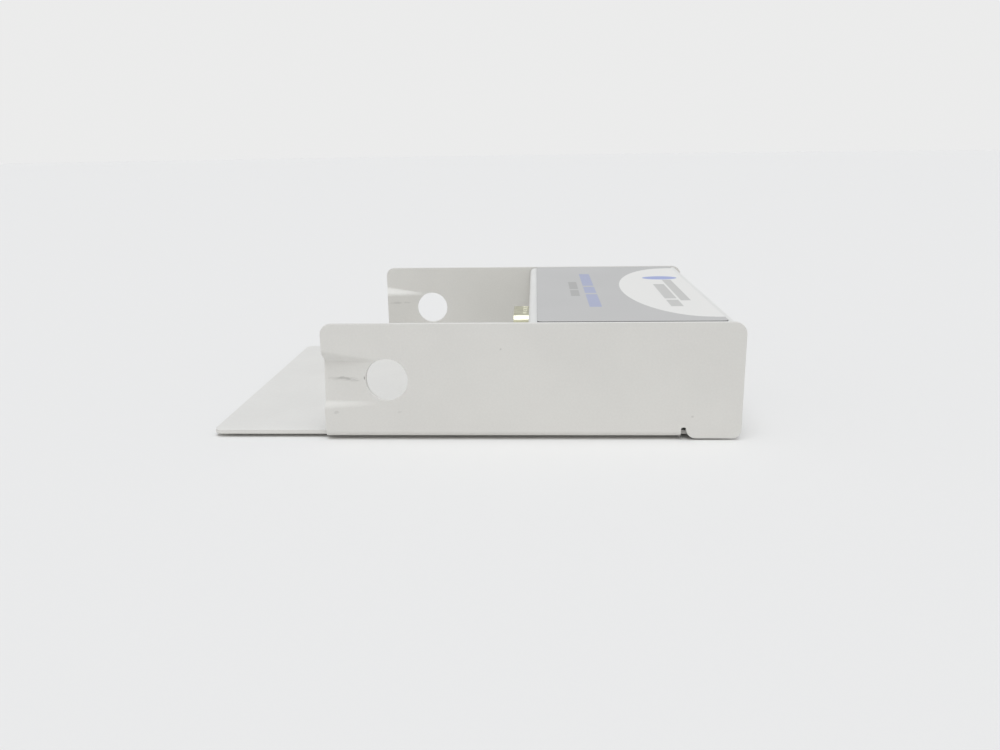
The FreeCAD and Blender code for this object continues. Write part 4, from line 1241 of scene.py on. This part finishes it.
def build_floor():
    """A plain round floor of pale paper."""
    studio = bpy.context.scene.carrier_studio
    shape = Shape()
    shape.add((0, 0, 0), (0, 0, 1))
    loops = []
    for radius in (*FLOOR_RINGS, studio.floor_radius):
        loops.append([shape.add((point.x, point.y, 0), (0, 0, 1))
                      for point in circle(0, 0, radius, FLOOR_SEGMENTS)])
    shape.faces += [(0, loops[0][i], loops[0][(i + 1) % FLOOR_SEGMENTS]) for i in range(FLOOR_SEGMENTS)]
    for ring, following in zip(loops, loops[1:]):
        shape.strip(ring, following)
    mesh = bpy.data.meshes.new("studio_floor")
    mesh.from_pydata(shape.points, [], shape.faces)
    paint = Paint("studio_paper")
    tone = tuple(studio.floor_colour)
    base = paint.mix(paint.noise(PAPER_PATCH), shade(tone, PAPER_SHADE), tone)
    paint.set(Base_Color=base, Roughness=0.95, Specular_IOR_Level=0.1)
    mesh.materials.append(paint.material)
    floor = bpy.data.objects.new("studio_floor", mesh)
    bpy.context.scene.collection.objects.link(floor)


def build_sky():
    """An even pale band at the horizon; above it the camera's side is brighter than the far side."""
    studio = bpy.context.scene.carrier_studio
    world = bpy.data.worlds.new("studio_light")
    world.use_nodes = True
    nodes = Nodes(world.node_tree, "Generated")
    _, depth, height = nodes.axes()
    above = nodes.mix(nodes.ramp(depth, *SIDE_BLEND), studio.front_light, studio.rear_light)
    tone = nodes.mix(nodes.ramp(height, *HORIZON_BLEND), studio.horizon_light, above)
    nodes.feed(world.node_tree.nodes["Background"].inputs["Color"], tone)
    bpy.context.scene.world = world


def build_top_light():
    """Broad soft light from above, a little on the camera's side."""
    studio = bpy.context.scene.carrier_studio
    lamp = bpy.data.lights.new("top_light", "SUN")
    lamp.energy = studio.top_strength
    lamp.color = studio.top_tint
    lamp.angle = studio.top_spread
    holder = bpy.data.objects.new("top_light", lamp)
    holder.rotation_euler = TOP_LIGHT_WAY.to_track_quat("Z", "Y").to_euler()
    bpy.context.scene.collection.objects.link(holder)


def build_camera():
    """The camera, and the plain view transform."""
    studio = bpy.context.scene.carrier_studio
    camera = bpy.data.cameras.new("camera")
    camera.lens = studio.lens
    camera.sensor_width = SENSOR_WIDTH
    camera.clip_start = CLIP_NEAR
    camera.clip_end = CLIP_FAR
    holder = bpy.data.objects.new("camera", camera)
    turn = (Matrix.Rotation(studio.camera_yaw, 4, "Z")
            @ Matrix.Rotation(RIGHT_ANGLE - studio.camera_pitch, 4, "X")
            @ Matrix.Rotation(studio.camera_roll, 4, "Z"))
    holder.matrix_world = Matrix.Translation(studio.camera_place) @ turn
    bpy.context.scene.collection.objects.link(holder)
    bpy.context.scene.camera = holder
    bpy.context.scene.view_settings.view_transform = "Standard"


# ---- operators ----
class CARRIER_OT_studio(Operator):
    """Set up the pale floor, the soft light and the camera"""
    bl_idname = "carrier.studio"
    bl_label = "Studio"

    def execute(self, context):
        build_floor()
        build_sky()
        build_top_light()
        build_camera()
        return {"FINISHED"}


class CARRIER_OT_cradle(Operator):
    """Fold the cradle: tongue, base, side walls with lead-ins and latch holes, tabs and rear panel"""
    bl_idname = "carrier.cradle"
    bl_label = "Cradle"

    def execute(self, context):
        build_cradle()
        return {"FINISHED"}


class CARRIER_OT_cover(Operator):
    """Fold the electronics cover: foot, front panel with the plug's cutout, and top"""
    bl_idname = "carrier.cover"
    bl_label = "Cover"

    def execute(self, context):
        build_cover()
        return {"FINISHED"}


class CARRIER_OT_overlay(Operator):
    """Lay the printed overlay on the cover"""
    bl_idname = "carrier.overlay"
    bl_label = "Overlay"

    def execute(self, context):
        build_label()
        return {"FINISHED"}


class CARRIER_OT_module_plug(Operator):
    """Form the module plug: shell and flange, pins and moulded body"""
    bl_idname = "carrier.module_plug"
    bl_label = "Module plug"

    def execute(self, context):
        colours = context.scene.carrier_colours
        shell = Shape()
        add_plug_shell(shell)
        add_plug_flange(shell)
        make_piece("module_plug_shell", shell, plated_metal("plug_steel", colours.plug, roughness=0.3),
                   ["plug_shell"])
        pins = Shape()
        add_pins(pins)
        gold = plated_metal("contact_gold", colours.gold, roughness=0.22)
        make_piece("module_plug_pins", pins, gold, ["plug_pins"])
        dress(["port_contacts"], gold)
        dress(["plug_insulator"], moulded_plastic("plug_plastic", colours.black_plastic))
        return {"FINISHED"}


class CARRIER_OT_foot_pads(Operator):
    """Stick the four rubber pads under the base"""
    bl_idname = "carrier.foot_pads"
    bl_label = "Foot pads"

    def execute(self, context):
        pads = Shape()
        add_pads(pads)
        make_piece("rubber_pads", pads, pad_rubber(), ["foot_pads"])
        return {"FINISHED"}


class CARRIER_OT_fasteners(Operator):
    """Plate the screws, nuts, standoffs and cable lock"""
    bl_idname = "carrier.fasteners"
    bl_label = "Fasteners"

    def execute(self, context):
        zinc = context.scene.carrier_colours.steel
        dress(FASTENERS, plated_metal("screw_steel", zinc, roughness=0.34))
        return {"FINISHED"}


class CARRIER_OT_host_port(Operator):
    """Finish the host port and the status lights at the rear"""
    bl_idname = "carrier.host_port"
    bl_label = "Host port and lights"

    def execute(self, context):
        colours = context.scene.carrier_colours
        dress(["port_shell"], plated_metal("port_steel", colours.tin, roughness=0.26, stretch=(0.2, 1, 1)))
        dress(["port_insulator"], moulded_plastic("port_plastic", colours.white_plastic, roughness=0.4))
        dress(["light_guides"], clear_guide())
        dress(["status_lamps"], moulded_plastic("lamp_body", colours.lamp, roughness=0.28))
        return {"FINISHED"}


class CARRIER_OT_main_board(Operator):
    """Finish the main board and the parts soldered to it"""
    bl_idname = "carrier.main_board"
    bl_label = "Main board"

    def execute(self, context):
        colours = context.scene.carrier_colours
        dress(["main_board"], board_laminate())
        dress(["controller_chip", "isolator_chips"],
              moulded_plastic("chip_black", colours.black_plastic, roughness=0.5, grain=0.1 * MM))
        dress(["crystal"], plated_metal("crystal_steel", colours.tin, roughness=0.3))
        dress(["transformer"],
              moulded_plastic("transformer_body", colours.black_plastic, roughness=0.3, grain=0.3 * MM))
        dress(["can_capacitors"],
              plated_metal("capacitor_aluminium", colours.aluminium, roughness=0.36))
        dress(["chip_capacitors"],
              moulded_plastic("capacitor_ceramic", colours.ceramic, roughness=0.35, grain=0.2 * MM))
        return {"FINISHED"}


FASTENERS = ("cover_front_screws", "cover_front_nuts", "cover_rear_screws", "cover_rear_nuts",
             "board_screws", "board_standoffs", "plug_screws", "plug_nuts", "cable_lock_nut")
STEPS = (CARRIER_OT_studio, CARRIER_OT_cradle, CARRIER_OT_cover, CARRIER_OT_overlay,
         CARRIER_OT_module_plug, CARRIER_OT_foot_pads, CARRIER_OT_fasteners, CARRIER_OT_host_port,
         CARRIER_OT_main_board)


class CARRIER_PT_pieces(Panel):
    """The carrier's pieces, in the order they are made"""
    bl_label = "Module carrier"
    bl_idname = "CARRIER_PT_pieces"
    bl_space_type = "VIEW_3D"
    bl_region_type = "UI"
    bl_category = "Carrier"

    def draw(self, context):
        for step in STEPS:
            self.layout.operator(step.bl_idname)
        for name, kind in SETTINGS.items():
            box = self.layout.box()
            for setting in kind.__annotations__:
                box.prop(getattr(context.scene, name), setting)


def register():
    """Registers the settings, the operators and the panel."""
    for kind in (*SETTINGS.values(), *STEPS, CARRIER_PT_pieces):
        bpy.utils.register_class(kind)
    for name, kind in SETTINGS.items():
        setattr(bpy.types.Scene, name, PointerProperty(type=kind))


def unregister():
    """Takes them away again."""
    for name in SETTINGS:
        delattr(bpy.types.Scene, name)
    for kind in (CARRIER_PT_pieces, *reversed(STEPS), *reversed(SETTINGS.values())):
        bpy.utils.unregister_class(kind)


def main():
    """Builds every piece in order."""
    register()
    bpy.ops.carrier.studio()
    bpy.ops.carrier.cradle()
    bpy.ops.carrier.cover()
    bpy.ops.carrier.overlay()
    bpy.ops.carrier.module_plug()
    bpy.ops.carrier.foot_pads()
    bpy.ops.carrier.fasteners()
    bpy.ops.carrier.host_port()
    bpy.ops.carrier.main_board()


if __name__ == "__main__":
    main()
